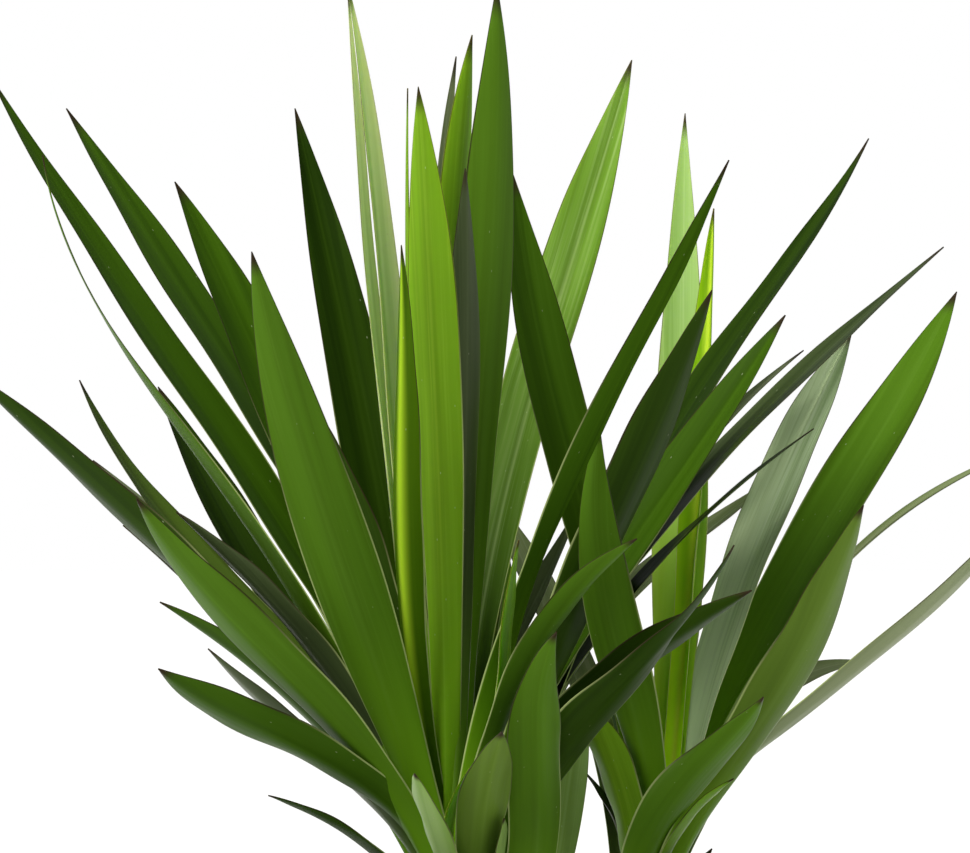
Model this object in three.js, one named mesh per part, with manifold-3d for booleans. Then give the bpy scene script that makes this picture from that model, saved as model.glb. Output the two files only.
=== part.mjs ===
// A potted spineless yucca in millimetres, +Z up, standing on the floor at z = 0 with the middle of
// its pot at the origin: pot, soil, a sawn woody cane, and two leafy shoots that grow from the cane.
// The front of the plant faces -Y.

import * as THREE from 'three';
import { mergeVertices } from 'three/addons/utils/BufferGeometryUtils.js';
import Module from 'manifold-3d';

const wasm = await Module();
wasm.setup();

// Pieces that touch keep this much clearance.
const clearance = 0.3;

// Pot
const potHeight = 184;
const potTopRadius = 110;
const potBaseRadius = 84;
const potWall = 4;
const potFloor = 7;
const potSides = 48;
const rimHeight = 24;
const rimOverhang = 4;
const edgeRound = 1.5;
const innerRound = 6;
const drainRadius = 6;
const drainCircle = 48;
const drainCount = 6;
const drainSides = 16;

// Soil: its surface rises a little to the cane and is uneven.
const soilLevel = 164;
const soilCrown = 6;
const soilRoughness = 1.6;
const soilRings = 5;
const soilSeed = 11;

// Cane: plain where it stands in the soil, uneven with bark above it, sawn off at the top.
const caneRadius = 30;
const caneTopRadius = 28;
const caneBottom = 58;
const caneTop = 392;
const caneSides = 20;
const barkBottom = 178;
const barkRings = 9;
const barkRoughness = 1.3;
const barkSeed = 5;
const sawnBevel = 1.6;
const collarRadius = 20;
const collarFootRadius = 7;
const collarLength = 30;
const collarRings = 7;
const socketRings = 3;
const socketDepth = 14;

// Shoots: each stem runs from its socket in the cane's shoulder through a bend to the growing tip.
// Between the heart's bottom and top, as shares of its length, the sheaths of the leaves thicken it.
const stemRadius = 13.5;
const heartRadius = 21;
const heartBottom = 0.24;
const heartMiddle = 0.42;
const heartTop = 0.7;
const stemTipRadius = 7;
const stemSides = 12;
const stemRings = 10;
const leftStem = [[-22, 0, 362], [-50, -14, 432], [-65, -25, 503]];
const rightStem = [[22, 3, 362], [50, 20, 430], [66, 36, 500]];

// Leaves stand on these shares of the stem, from its tip down. The oldest droop from the lowest part.
const upperRoots = [0.97, 0.36];
const lowerRoots = [0.35, 0.27];
const rootInset = 6;

// One leaf: a blade folded along its middle, narrow at the neck, widest at the belly. At its root it
// is turned and folded as it grew, and it takes its own turn, fold and twist over these shares of its
// length. neckTop is where it starts to widen.
const leafWidth = 42;
const leafThickness = 2.4;
const leafTipThickness = 0.9;
const leafFold = 17;
const rootFold = 34;
const leafNeck = 0.3;
const leafBelly = 0.66;
const leafTaper = 2;
const leafPoint = 0.04;
const leafStations = [0, 0.15, 0.34, 0.52, 0.67, 0.8, 0.91, 1];
const hiddenStations = [0, 0.22, 0.45, 0.66, 0.85, 1];
const reachPower = 1.3;
const upwardPull = 3;
const neckTop = 0.1;
const turnShares = [0.03, 0.45];
const foldShares = [0, 0.4];
const twistShares = [0.5, 0.9];

// A path's length is summed over this many steps.
const lengthSteps = 120;

// The photograph's eye: leaf points are placed as seen from it, in the upright plane of the cane.
const eyeDistance = 4000;
const eyeAcross = -42;
const eyeHeight = 742;

// Leaves from the youngest to the oldest. tip is [across, depth, height] and via holds points that
// the middle line passes, [across, height], from the root on. shows is how wide the blade looks from
// the front at its widest; without it the blade's face turns to the stem as it grew. wide and fold
// are the blade's own, belly and neck shape its outline, taper its point, and twist turns its outer
// part on towards edge-on.
const leftLeaves = [
  { tip: [-82, -150, 946], via: [[-66, 638], [-70, 758]], shows: 29, wide: 32 },
  { tip: [-92, -190, 851], via: [[-82, 590], [-88, 700]], shows: 17, wide: 26, fold: 40, belly: 0.5 },
  { tip: [-50, -80, 977], via: [[-66, 760], [-60, 903]], shows: 10, wide: 22, belly: 0.8 },
  { tip: [-59, 0, 964], via: [[-66, 700], [-67, 880]], shows: 13, wide: 26 },
  { tip: [-54, -100, 897], via: [[-57, 728]], shows: 21, wide: 30 },
  { tip: [-88, 20, 945], via: [[-86, 760]], shows: 2, wide: 16, fold: 4 },
  { tip: [-124, 0, 1007], via: [[-94.5, 773], [-105, 884]], shows: 13.5, wide: 30, belly: 0.55 },
  { tip: [-124, 40, 1005], via: [[-104, 773], [-114, 881]], shows: 6, wide: 24, fold: 8 },
  { tip: [-35, -60, 1007], via: [[-54.5, 660], [-43.5, 818]], shows: 30, wide: 38 },
  { tip: [-22, -190, 674], via: [[-32.5, 586], [-29, 623]], shows: 6.5, wide: 20, fold: 6 },
  { tip: [46, 200, 962], via: [[-38, 674], [-3.5, 806]], shows: 31.5, wide: 40 },
  { tip: [-156, 80, 933], via: [[-116, 758]], shows: 37, wide: 42, belly: 0.5 },
  { tip: [104, -340, 902], via: [[-28, 620], [21, 739]], shows: 13, wide: 40, fold: 8 },
  { tip: [49, -250, 675], via: [[-33, 571], [1, 633]], shows: 16, wide: 32 },
  { tip: [-150, -100, 763], via: [[-118, 684]], shows: 22, wide: 40 },
  { tip: [-182, -230, 847], via: [[-103, 590], [-146, 715]], shows: 42, wide: 44, belly: 0.5 },
  { tip: [94, -40, 824], via: [[-4, 605], [45, 713]], shows: 26, wide: 42 },
  { tip: [188, 60, 915], via: [[20, 650], [104, 804], [157, 874]], shows: 13, wide: 38, fold: 8,
    belly: 0.55 },
  { tip: [-228, 70, 887], via: [[-158, 747]], shows: 30, wide: 42 },
  { tip: [-293, 120, 931], via: [[-145, 700], [-216, 823]], shows: 16, wide: 42, fold: 10,
    belly: 0.6 },
  { tip: [138, 0, 809], via: [[-2, 599], [74, 722]], shows: 21, wide: 44 },
  { tip: [-339, 40, 953], via: [[-163, 686], [-273, 848]], shows: 20, wide: 42, fold: 12,
    belly: 0.5 },
  { tip: [233, 20, 852], via: [[15, 622], [135, 769]], shows: 11, wide: 42, fold: 8, belly: 0.5 },
  { tip: [-238, 150, 766], via: [[-195, 691]], shows: 24, wide: 40 },
  { tip: [-307, -30, 905], via: [[-138, 616], [-224, 741], [-285, 836]], shows: 12, wide: 38,
    fold: 4, twist: 14 },
  { tip: [149, 50, 788], via: [[90, 735]], shows: 8, wide: 30, fold: 6 },
  { tip: [-227, -40, 691], via: [[-157, 627]], shows: 14, wide: 34 },
  { tip: [-285, 60, 770], via: [[-184, 636], [-244, 703]], shows: 12, wide: 38, fold: 8,
    twist: 10 },
  { tip: [129, 220, 710], via: [[-5, 575], [55, 655], [98, 688]], shows: 11, wide: 36 },
  { tip: [-354, -40, 776], via: [[-150, 585], [-237, 673]], shows: 15, wide: 42 },
  { tip: [155, 60, 741], via: [[-6, 572], [76, 677]], shows: 6, wide: 30, fold: 4, twist: 10 },
  { tip: [-277, 100, 722], via: [[-244, 695]], shows: 3, wide: 26, fold: 4 },
  { tip: [-259, 30, 683], via: [[-130, 560], [-200, 632]], shows: 3, wide: 26, fold: 4 },
  { tip: [-251, -220, 699], via: [[-94, 520], [-153.5, 591.5]], shows: 26, wide: 38 },
  { tip: [118, -220, 644], via: [[-5, 556], [55, 610]], shows: 21, wide: 40 },
  { tip: [-237, -60, 637], via: [[-194, 613]], shows: 12, wide: 36 },
  { tip: [-208, -130, 609], via: [[-105, 515], [-177, 581]], shows: 11, wide: 26, fold: 10 },
  { tip: [-238, -150, 597], via: [[-113, 530], [-186, 571]], shows: 20, wide: 36, belly: 0.76 },
  { tip: [107, -300, 671], via: [[-11, 531], [40, 592]], shows: 27, wide: 40, belly: 0.42,
    twist: 36 },
  { tip: [-84, -260, 534], via: [[-69, 496]], shows: 14, wide: 30, neck: 0.85 },
  { tip: [-46, -200, 543], via: [[-59, 522]], shows: 5, wide: 22, fold: 8 },
  { tip: [-32, -280, 559], via: [[-44, 512]], shows: 29, wide: 33, neck: 0.6 },
  { tip: [-172, -100, 521], via: [[-112, 491]], shows: 5, wide: 26, fold: 4 },
  { tip: [-31, -180, 507], via: [[-33, 490]], shows: 6, wide: 24, fold: 8 },
  { tip: [21, -90, 578], via: [[-3, 486], [3.5, 540]], shows: 22, wide: 30, neck: 0.8 },
  { tip: [1, -260, 619], via: [[-14, 486], [-13, 555]], shows: 31, wide: 36, neck: 0.9 },
  { tip: [-192, -60, 485], via: [[-120, 460]], shows: 8, wide: 28 },
];

const rightLeaves = [
  { tip: [95, 130, 873], via: [[77, 640], [84.5, 760]], shows: 11, wide: 20, fold: 45 },
  { tip: [78, 200, 930], via: [[74, 665], [76, 800]], shows: 34, wide: 38, belly: 0.45, taper: 1.6 },
  { tip: [-25, 60, 893], via: [[34, 632], [0, 765]], shows: 33, wide: 40 },
  { tip: [27, -160, 741], via: [[49, 572], [34, 632], [25.5, 690]], shows: 31, wide: 35,
    belly: 0.5 },
  { tip: [178, 120, 799], via: [[95, 605], [133, 709]], shows: 25, wide: 36 },
  { tip: [241, 260, 823], via: [[117, 608], [176, 711]], shows: 33, wide: 42 },
  { tip: [305, 60, 735], via: [[182, 669], [228, 704]], shows: 3, wide: 14, fold: 8 },
  { tip: [185, -200, 695], via: [[102, 540], [134, 590], [159, 638]], shows: 30, wide: 40,
    belly: 0.55 },
  { tip: [186, 150, 602], via: [[118, 575], [152, 597]], shows: 9, wide: 24, fold: 8 },
  { tip: [300, 20, 702], via: [[98, 530], [133, 562], [183, 602]], shows: 9, wide: 30, fold: 8 },
  { tip: [12, -60, 584], via: [[36, 540]], shows: 21, wide: 34 },
  { tip: [107, -120, 531], via: [[80, 508]], shows: 7, wide: 24, fold: 6 },
  { tip: [125, -260, 580], via: [[72, 524], [97, 550]], shows: 27, wide: 36, belly: 0.5 },
  { tip: [17, -20, 536], via: [[31, 518]], shows: 4, wide: 24, fold: 4 },
  { tip: [94, -60, 489], via: [[78, 470]], shows: 10, wide: 28 },
];

// Leaves at the back of each head, which the ones in front cover.
const leftRear = [
  { tip: [-62, 330, 862], via: [[-68, 680]] },
  { tip: [-80, 400, 770], via: [[-76, 640]] },
  { tip: [12, 240, 850], via: [[-36, 674]], shows: 26 },
  { tip: [-140, 400, 880], via: [[-112, 740]], shows: 30 },
  { tip: [-45, 410, 700], via: [[-58, 600]] },
  { tip: [-192, 280, 812], via: [[-140, 710]], shows: 24 },
  { tip: [-245, 330, 806], via: [[-160, 682]], shows: 14 },
  { tip: [-166, 330, 760], via: [[-103, 590], [-140, 690]], shows: 34 },
  { tip: [-128, 340, 720], via: [[-98, 610]] },
  { tip: [-34, 350, 690], via: [[-45, 590]] },
];

const rightRear = [
  { tip: [80, 380, 800], via: [[74, 650]], shows: 26 },
  { tip: [-10, 430, 815], via: [[33, 636]], shows: 26 },
  { tip: [75, 420, 720], via: [[72, 600]], shows: 28 },
  { tip: [205, 420, 760], via: [[115, 606], [160, 686]], shows: 26 },
  { tip: [150, 400, 740], via: [[95, 605]], shows: 18 },
  { tip: [150, 330, 640], via: [[84, 530], [118, 586]], shows: 22 },
  { tip: [110, 380, 600], via: [[90, 545]] },
  { tip: [30, 350, 600], via: [[47, 545]], shows: 30 },
  { tip: [75, 300, 560], via: [[70, 520]] },
];

// The oldest leaves, which arch over and hang below the part that the photograph shows.
const leftLow = [
  { tip: [-290, 60, 430], via: [[-170, 452]] },
  { tip: [-60, 380, 430], via: [[-56, 445]] },
  { tip: [-230, -200, 430], via: [[-140, 450]] },
  { tip: [-200, 220, 440], via: [[-125, 448]] },
  { tip: [-100, -330, 415], via: [[-80, 448]] },
  { tip: [-150, 300, 415], via: [[-105, 440]] },
  { tip: [-30, -260, 395], via: [[-42, 436]] },
  { tip: [-265, -90, 390], via: [[-160, 436]] },
];

const rightLow = [
  { tip: [320, 0, 450], via: [[190, 460]] },
  { tip: [60, 390, 440], via: [[62, 448]] },
  { tip: [260, -180, 445], via: [[160, 458]] },
  { tip: [230, 220, 445], via: [[150, 456]] },
  { tip: [90, -330, 420], via: [[78, 450]] },
  { tip: [150, 320, 425], via: [[105, 446]] },
  { tip: [190, -280, 410], via: [[125, 442]] },
  { tip: [42, -260, 395], via: [[50, 436]] },
  { tip: [280, 110, 395], via: [[175, 440]] },
];

// A repeatable run of numbers from 0 to 1.
function randomRun(seed) {
  let state = seed;
  return () => {
    state = (state * 1664525 + 1013904223) % 4294967296;
    return state / 4294967296;
  };
}

// A solid from corner positions and triangles.
function solidFrom(positions, faces) {
  return new wasm.Manifold(new wasm.Mesh({
    numProp: 3,
    vertProperties: new Float32Array(positions),
    triVerts: new Uint32Array(faces),
  }));
}

// A solid from a closed geometry.
function solidOf(geometry) {
  const plain = geometry.clone();
  plain.deleteAttribute('normal');
  plain.deleteAttribute('uv');
  const merged = mergeVertices(plain, 1e-4);
  return solidFrom(merged.attributes.position.array, merged.index.array);
}

// A geometry from a solid.
function geometryOf(solid) {
  const mesh = solid.getMesh();
  const geometry = new THREE.BufferGeometry();
  geometry.setAttribute('position', new THREE.BufferAttribute(new Float32Array(mesh.vertProperties), 3));
  geometry.setIndex(new THREE.BufferAttribute(new Uint32Array(mesh.triVerts), 1));
  geometry.computeVertexNormals();
  return geometry;
}

const joined = (solids) => solids.reduce((sum, solid) => sum.add(solid));

// A geometry of revolution about Z. The profile is [radius, height] and starts and ends on the axis.
function turned(profile, sides) {
  const points = profile.map(([radius, height]) => new THREE.Vector2(radius, height));
  return new THREE.LatheGeometry(points, sides).rotateX(Math.PI / 2);
}

// A smooth path through a few points, met at their share of the summed chord lengths.
function pathThrough(points) {
  const marks = [0];
  for (let i = 1; i < points.length; i += 1) {
    marks.push(marks[i - 1] + points[i].distanceTo(points[i - 1]));
  }
  const length = marks[marks.length - 1];
  return (share) => {
    const sum = new THREE.Vector3();
    points.forEach((point, i) => {
      let weight = 1;
      marks.forEach((mark, j) => {
        if (j !== i) {
          weight *= (share * length - mark) / (marks[i] - mark);
        }
      });
      sum.addScaledVector(point, weight);
    });
    return sum;
  };
}

// Points at the given shares of a path's true length, with the direction of travel at each.
function stationsAlong(path, shares) {
  const steps = lengthSteps;
  const points = Array.from({ length: steps + 1 }, (_, i) => path(i / steps));
  const lengths = [0];
  for (let i = 1; i <= steps; i += 1) {
    lengths.push(lengths[i - 1] + points[i].distanceTo(points[i - 1]));
  }
  return shares.map((share) => {
    const wanted = share * lengths[steps];
    let i = 1;
    while (i < steps && lengths[i] < wanted) {
      i += 1;
    }
    const part = (wanted - lengths[i - 1]) / (lengths[i] - lengths[i - 1]);
    const point = points[i - 1].clone().lerp(points[i], part);
    const along = points[i].clone().sub(points[i - 1]).normalize();
    return { share, point, along, length: lengths[steps] };
  });
}

// The two directions across a path: the first sideways, the second towards the front.
function crossAxes(along) {
  const level = along.clone().cross(new THREE.Vector3(0, 1, 0)).normalize();
  return [level, along.clone().cross(level)];
}

// A closed skin through rings of like corners. Opposite faces of a blade are split along the same
// lines, and the flat ends are split straight across.
function skinned(rings) {
  const count = rings[0].length;
  const positions = rings.flat().flatMap((corner) => corner.toArray());
  const faces = [];
  for (let ring = 0; ring < rings.length - 1; ring += 1) {
    for (let i = 0; i < count; i += 1) {
      const a = ring * count + i;
      const b = ring * count + (i + 1) % count;
      if (i === 0 || i === 2 || i === 3) {
        faces.push(b, a, a + count, b + count, b, a + count);
      } else {
        faces.push(b, a, b + count, b + count, a, a + count);
      }
    }
  }
  const last = (rings.length - 1) * count;
  for (let i = 0; i < count / 2 - 1; i += 1) {
    const facing = count - 1 - i;
    faces.push(facing, i, i + 1, facing, i + 1, facing - 1);
    faces.push(last + i + 1, last + i, last + facing, last + facing - 1, last + i + 1, last + facing);
  }
  return { positions, faces };
}

const skinnedSolid = ({ positions, faces }) => solidFrom(positions, faces);

// A round bar along a path, between two shares of it, whose radius follows the share.
function bar(path, from, to, rings, radiusAt) {
  const shares = Array.from({ length: rings }, (_, i) => THREE.MathUtils.lerp(from, to, i / (rings - 1)));
  return skinnedSolid(skinned(stationsAlong(path, shares).map(({ share, point, along }) => {
    const [level, front] = crossAxes(along);
    return Array.from({ length: stemSides }, (_, i) => {
      const angle = (2 * Math.PI * i) / stemSides;
      return point.clone()
        .addScaledVector(front, radiusAt(share) * Math.cos(angle))
        .addScaledVector(level, radiusAt(share) * Math.sin(angle));
    });
  })));
}

// A point seen across and at a height in the cane's plane, pushed to its depth along the sight line.
function sighted(across, depth, height) {
  const spread = 1 + depth / eyeDistance;
  return new THREE.Vector3(
    eyeAcross + (across - eyeAcross) * spread,
    depth,
    eyeHeight + (height - eyeHeight) * spread,
  );
}

// The middle line of a leaf, from its root in the stem to its tip.
function leafPath(leaf, root) {
  const seenRoot = [
    eyeAcross + (root.x - eyeAcross) / (1 + root.y / eyeDistance),
    eyeHeight + (root.z - eyeHeight) / (1 + root.y / eyeDistance),
  ];
  const [tipAcross, tipDepth, tipHeight] = leaf.tip;
  const seen = [seenRoot, ...leaf.via, [tipAcross, tipHeight]];
  const marks = [0];
  for (let i = 1; i < seen.length; i += 1) {
    marks.push(marks[i - 1] + Math.hypot(seen[i][0] - seen[i - 1][0], seen[i][1] - seen[i - 1][1]));
  }
  const points = seen.map(([across, height], i) => {
    const reach = (marks[i] / marks[marks.length - 1]) ** reachPower;
    return sighted(across, root.y + (tipDepth - root.y) * reach, height);
  });
  points[0] = root.clone();
  return pathThrough(points);
}

// The angle by which a blade's side is turned about its length. At 0 its upper face looks to the
// front. As it grew, the upper face looks back to the stem, and upwards where the leaf hangs.
function grownTurn(along, outward) {
  const [level, front] = crossAxes(along);
  const face = new THREE.Vector3(0, 0, upwardPull).sub(outward);
  face.addScaledVector(along, -face.dot(along)).normalize();
  return Math.atan2(-face.dot(level), face.dot(front));
}

const nearestTurn = (turn, to) => turn + Math.round((to - turn) / (2 * Math.PI)) * 2 * Math.PI;

// The turn that shows the wanted width, by the least twist away from how the blade grew.
function shownTurn(leaf, grown) {
  if (leaf.shows === undefined) {
    return grown;
  }
  const open = (leaf.wide ?? leafWidth) * Math.cos(THREE.MathUtils.degToRad(leaf.fold ?? leafFold));
  const tilt = Math.acos(Math.min(1, leaf.shows / open));
  const choices = [tilt, -tilt, Math.PI - tilt, Math.PI + tilt].map((turn) => nearestTurn(turn, grown));
  choices.sort((a, b) => Math.abs(a - grown) - Math.abs(b - grown));
  return choices[0];
}

// Half the width of a blade at a share of its length.
function halfWidth(leaf, share) {
  const half = (leaf.wide ?? leafWidth) / 2;
  const belly = leaf.belly ?? leafBelly;
  if (share < belly) {
    const widening = THREE.MathUtils.smoothstep(share, neckTop, belly);
    return half * THREE.MathUtils.lerp(leaf.neck ?? leafNeck, 1, widening);
  }
  const narrowing = ((share - belly) / (1 - belly)) ** (leaf.taper ?? leafTaper);
  return half * THREE.MathUtils.lerp(1, leafPoint, narrowing);
}

// The rings of a leaf: left edge, keel and right edge of its upper face, then of its under face.
function leafRings(leaf, root, shares) {
  const stations = stationsAlong(leafPath(leaf, root), shares);
  const tip = stations[stations.length - 1].point;
  const outward = new THREE.Vector3(tip.x - root.x, tip.y - root.y, 0).normalize();
  const middle = stations[Math.floor(stations.length / 2)];
  const wanted = shownTurn(leaf, grownTurn(middle.along, outward));
  const twist = THREE.MathUtils.degToRad(leaf.twist ?? 0) * Math.sign(Math.sin(2 * wanted));
  return stations.map(({ share, point, along }) => {
    const grown = nearestTurn(grownTurn(along, outward), wanted);
    const turn = THREE.MathUtils.lerp(grown, wanted, THREE.MathUtils.smoothstep(share, ...turnShares))
      + twist * THREE.MathUtils.smoothstep(share, ...twistShares);
    const [level, front] = crossAxes(along);
    const side = level.multiplyScalar(Math.cos(turn)).addScaledVector(front, Math.sin(turn));
    const face = along.clone().cross(side);
    const fold = THREE.MathUtils.degToRad(THREE.MathUtils.lerp(
      rootFold,
      leaf.fold ?? leafFold,
      THREE.MathUtils.smoothstep(share, ...foldShares),
    ));
    const half = halfWidth(leaf, share);
    const thickness = THREE.MathUtils.lerp(leafThickness, leafTipThickness, share);
    const upper = [-1, 0, 1].map((edge) => point.clone()
      .addScaledVector(side, edge * half * Math.cos(fold))
      .addScaledVector(face, (Math.abs(edge) - 1) * half * Math.sin(fold)));
    const under = upper.map((corner) => corner.clone().addScaledVector(face, -thickness / Math.cos(fold)));
    return [upper[0], upper[1], upper[2], under[2], under[1], under[0]];
  });
}

const stemPath = (stem) => pathThrough(stem.map((point) => new THREE.Vector3(...point)));

// A leaf's root sits a little off the stem's axis, on the side that the leaf leans to.
function leafRoot(stem, leaf, share) {
  const [{ point }] = stationsAlong(stemPath(stem), [share]);
  const lean = new THREE.Vector3(leaf.tip[0] - point.x, leaf.tip[1] - point.y, 0).normalize();
  return point.addScaledVector(lean, rootInset);
}

// The skins of a row of leaves, rooted one below the other between two shares of the stem.
function leafSkins(stem, leaves, [topShare, bottomShare], stations) {
  return leaves.map((leaf, i) => {
    const share = THREE.MathUtils.lerp(topShare, bottomShare, i / (leaves.length - 1));
    return skinned(leafRings(leaf, leafRoot(stem, leaf, share), stations));
  });
}

function shootSkins(stem, leaves, rear, low) {
  return [
    ...leafSkins(stem, leaves, upperRoots, leafStations),
    ...leafSkins(stem, rear, upperRoots, hiddenStations),
    ...leafSkins(stem, low, lowerRoots, hiddenStations),
  ];
}

// The stem stands in a socket of the cane's collar, which hides its lowest part.
function stemShares(stem) {
  const [{ length }] = stationsAlong(stemPath(stem), [1]);
  return { foot: (collarLength - socketDepth) / length, collar: collarLength / length };
}

// A stem's radius: the sheaths of the leaves thicken it where they stand.
function stemRadiusAt(share) {
  const swell = THREE.MathUtils.smoothstep(share, heartBottom, heartMiddle);
  const narrowing = THREE.MathUtils.smoothstep(share, heartTop, 1);
  return THREE.MathUtils.lerp(stemRadius, heartRadius, swell)
    - (heartRadius - stemTipRadius) * narrowing;
}

// A shoot is its stem and its leaves grown together. Pockets shut in between leaf roots are filled.
function shoot(stem, skins) {
  const stemBar = bar(stemPath(stem), stemShares(stem).foot, 1, stemRings, stemRadiusAt);
  const solid = joined([stemBar, ...skins.map(skinnedSolid)]);
  return solid.decompose().reduce((most, each) => (each.volume() > most.volume() ? each : most));
}

const wallRadius = (height) => THREE.MathUtils.lerp(potBaseRadius, potTopRadius, height / potHeight);

// Pot: a tapered wall with a rolled rim, and a floor with drain holes around its plain middle.
function pot() {
  const inside = (height) => wallRadius(height) - potWall;
  const rimRadius = potTopRadius + rimOverhang;
  const rimBottom = potHeight - rimHeight;
  const body = solidOf(turned([
    [0, 0],
    [wallRadius(0) - edgeRound, 0],
    [wallRadius(edgeRound), edgeRound],
    [wallRadius(rimBottom), rimBottom],
    [rimRadius - edgeRound, rimBottom],
    [rimRadius, rimBottom + edgeRound],
    [rimRadius, potHeight - edgeRound],
    [rimRadius - edgeRound, potHeight],
    [inside(potHeight) + edgeRound, potHeight],
    [inside(potHeight), potHeight - edgeRound],
    [inside(potFloor + innerRound), potFloor + innerRound],
    [inside(potFloor) - innerRound, potFloor],
    [0, potFloor],
  ], potSides));
  const drillLength = 4 * potFloor;
  const drains = Array.from({ length: drainCount }, (_, i) => {
    const angle = (2 * Math.PI * i) / drainCount;
    const hole = new THREE.CylinderGeometry(drainRadius, drainRadius, drillLength, drainSides);
    hole.rotateX(Math.PI / 2);
    hole.translate(drainCircle * Math.cos(angle), drainCircle * Math.sin(angle), 0);
    return solidOf(hole);
  });
  return body.subtract(joined(drains));
}

// Moves every corner of a geometry by a rule that gets the corner and a random number from -1 to 1.
function roughened(geometry, seed, rule) {
  const random = randomRun(seed);
  const merged = mergeVertices(geometry.deleteAttribute('normal').deleteAttribute('uv'), 1e-4);
  const { position } = merged.attributes;
  for (let i = 0; i < position.count; i += 1) {
    const point = new THREE.Vector3().fromBufferAttribute(position, i);
    rule(point, random() * 2 - 1);
    position.setXYZ(i, point.x, point.y, point.z);
  }
  return merged;
}

// Soil: fills the pot up to an uneven surface, with a plain hole that the cane stands in.
function soil() {
  const inside = (height) => wallRadius(height) - potWall - clearance;
  const bottom = potFloor + clearance;
  const surface = Array.from({ length: soilRings + 1 }, (_, i) => {
    const inward = i / soilRings;
    return [inside(soilLevel) * (1 - inward), soilLevel + soilCrown * Math.sin((Math.PI / 2) * inward)];
  });
  const body = turned([
    [0, bottom],
    [inside(potFloor) - innerRound, bottom],
    [inside(potFloor + innerRound), potFloor + innerRound + clearance],
    ...surface,
  ], potSides);
  const uneven = roughened(body, soilSeed, (point, random) => {
    if (point.z > soilLevel) {
      point.z += random * soilRoughness;
    }
  });
  const hole = new THREE.CylinderGeometry(
    caneRadius + clearance,
    caneRadius + clearance,
    caneTop,
    caneSides,
  ).rotateX(Math.PI / 2).translate(0, 0, caneBottom - clearance + caneTop / 2);
  return solidOf(uneven).subtract(solidOf(hole));
}

// Cane: the old trunk. A collar swells out of it around the foot of each shoot and holds its socket.
function cane() {
  const bark = Array.from({ length: barkRings + 1 }, (_, i) => {
    const share = i / barkRings;
    return [
      THREE.MathUtils.lerp(caneRadius, caneTopRadius, share),
      THREE.MathUtils.lerp(barkBottom, caneTop - sawnBevel, share),
    ];
  });
  const trunk = turned([
    [0, caneBottom],
    [caneRadius, caneBottom],
    ...bark,
    [caneTopRadius - sawnBevel, caneTop],
    [0, caneTop],
  ], caneSides);
  const lowest = barkBottom + sawnBevel;
  const highest = caneTop - 2 * sawnBevel;
  const uneven = roughened(trunk, barkSeed, (point, random) => {
    if (point.z > lowest && point.z < highest) {
      const swell = 1 + (random * barkRoughness) / caneRadius;
      point.x *= swell;
      point.y *= swell;
    }
  });
  const stems = [leftStem, rightStem];
  const collars = stems.map((stem) => {
    const { foot, collar } = stemShares(stem);
    const radiusAt = (share) => {
      const swell = Math.sin((Math.PI / 2) * Math.min(1, share / foot));
      return THREE.MathUtils.lerp(collarFootRadius, collarRadius, swell);
    };
    return bar(stemPath(stem), 0, collar, collarRings, radiusAt);
  });
  const sockets = stems.map((stem) => {
    const [{ length }] = stationsAlong(stemPath(stem), [1]);
    const foot = stemShares(stem).foot - clearance / length;
    return bar(stemPath(stem), foot, heartBottom, socketRings, () => stemRadius + clearance);
  });
  return joined([solidOf(uneven), ...collars]).subtract(joined(sockets));
}

const leftSkins = shootSkins(leftStem, leftLeaves, leftRear, leftLow);
const rightSkins = shootSkins(rightStem, rightLeaves, rightRear, rightLow);

const potLook = new THREE.MeshStandardMaterial({ color: 0x9c5a3c, roughness: 0.7, metalness: 0 });
const soilLook = new THREE.MeshStandardMaterial({ color: 0x2b1d14, roughness: 1, metalness: 0 });
const barkLook = new THREE.MeshStandardMaterial({ color: 0x8a7458, roughness: 0.9, metalness: 0 });
const leafLook = new THREE.MeshStandardMaterial({ color: 0x3f7a26, roughness: 0.45, metalness: 0 });

function named(name, solid, look) {
  const mesh = new THREE.Mesh(geometryOf(solid), look);
  mesh.name = name;
  return mesh;
}

const plant = new THREE.Group();
plant.name = 'potted_yucca';
plant.add(
  named('pot', pot(), potLook),
  named('soil', soil(), soilLook),
  named('cane', cane(), barkLook),
  named('crown_left', shoot(leftStem, leftSkins), leafLook),
  named('crown_right', shoot(rightStem, rightSkins), leafLook),
);

export default plant;
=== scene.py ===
"""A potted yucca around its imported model: fine leaves, stems, bark, soil and a clay-coloured pot."""

import math
from dataclasses import dataclass

import bmesh
import bpy
import numpy as np
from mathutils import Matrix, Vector, noise


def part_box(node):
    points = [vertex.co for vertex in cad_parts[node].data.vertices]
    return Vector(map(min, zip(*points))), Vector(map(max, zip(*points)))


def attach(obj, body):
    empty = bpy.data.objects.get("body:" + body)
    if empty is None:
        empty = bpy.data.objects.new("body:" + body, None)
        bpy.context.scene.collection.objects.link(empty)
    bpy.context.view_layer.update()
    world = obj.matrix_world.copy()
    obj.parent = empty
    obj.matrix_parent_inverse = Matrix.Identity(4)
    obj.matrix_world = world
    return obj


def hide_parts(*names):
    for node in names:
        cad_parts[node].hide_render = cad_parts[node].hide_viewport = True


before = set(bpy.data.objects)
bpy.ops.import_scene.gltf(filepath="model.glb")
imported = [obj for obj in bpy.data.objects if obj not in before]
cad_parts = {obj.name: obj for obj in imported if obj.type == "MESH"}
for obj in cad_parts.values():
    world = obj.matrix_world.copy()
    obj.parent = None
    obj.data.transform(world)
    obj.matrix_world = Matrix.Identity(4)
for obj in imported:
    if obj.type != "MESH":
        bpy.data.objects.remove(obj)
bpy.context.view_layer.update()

bl_info = {
    "name": "Potted Yucca",
    "version": (1, 0, 0),
    "blender": (4, 5, 0),
    "location": "3D View > Sidebar > Yucca",
    "description": "Builds a potted yucca with folded, streaked leaves on a sawn woody cane",
    "category": "Add Mesh",
}

MM = 0.001
BODY = "root"

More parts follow.
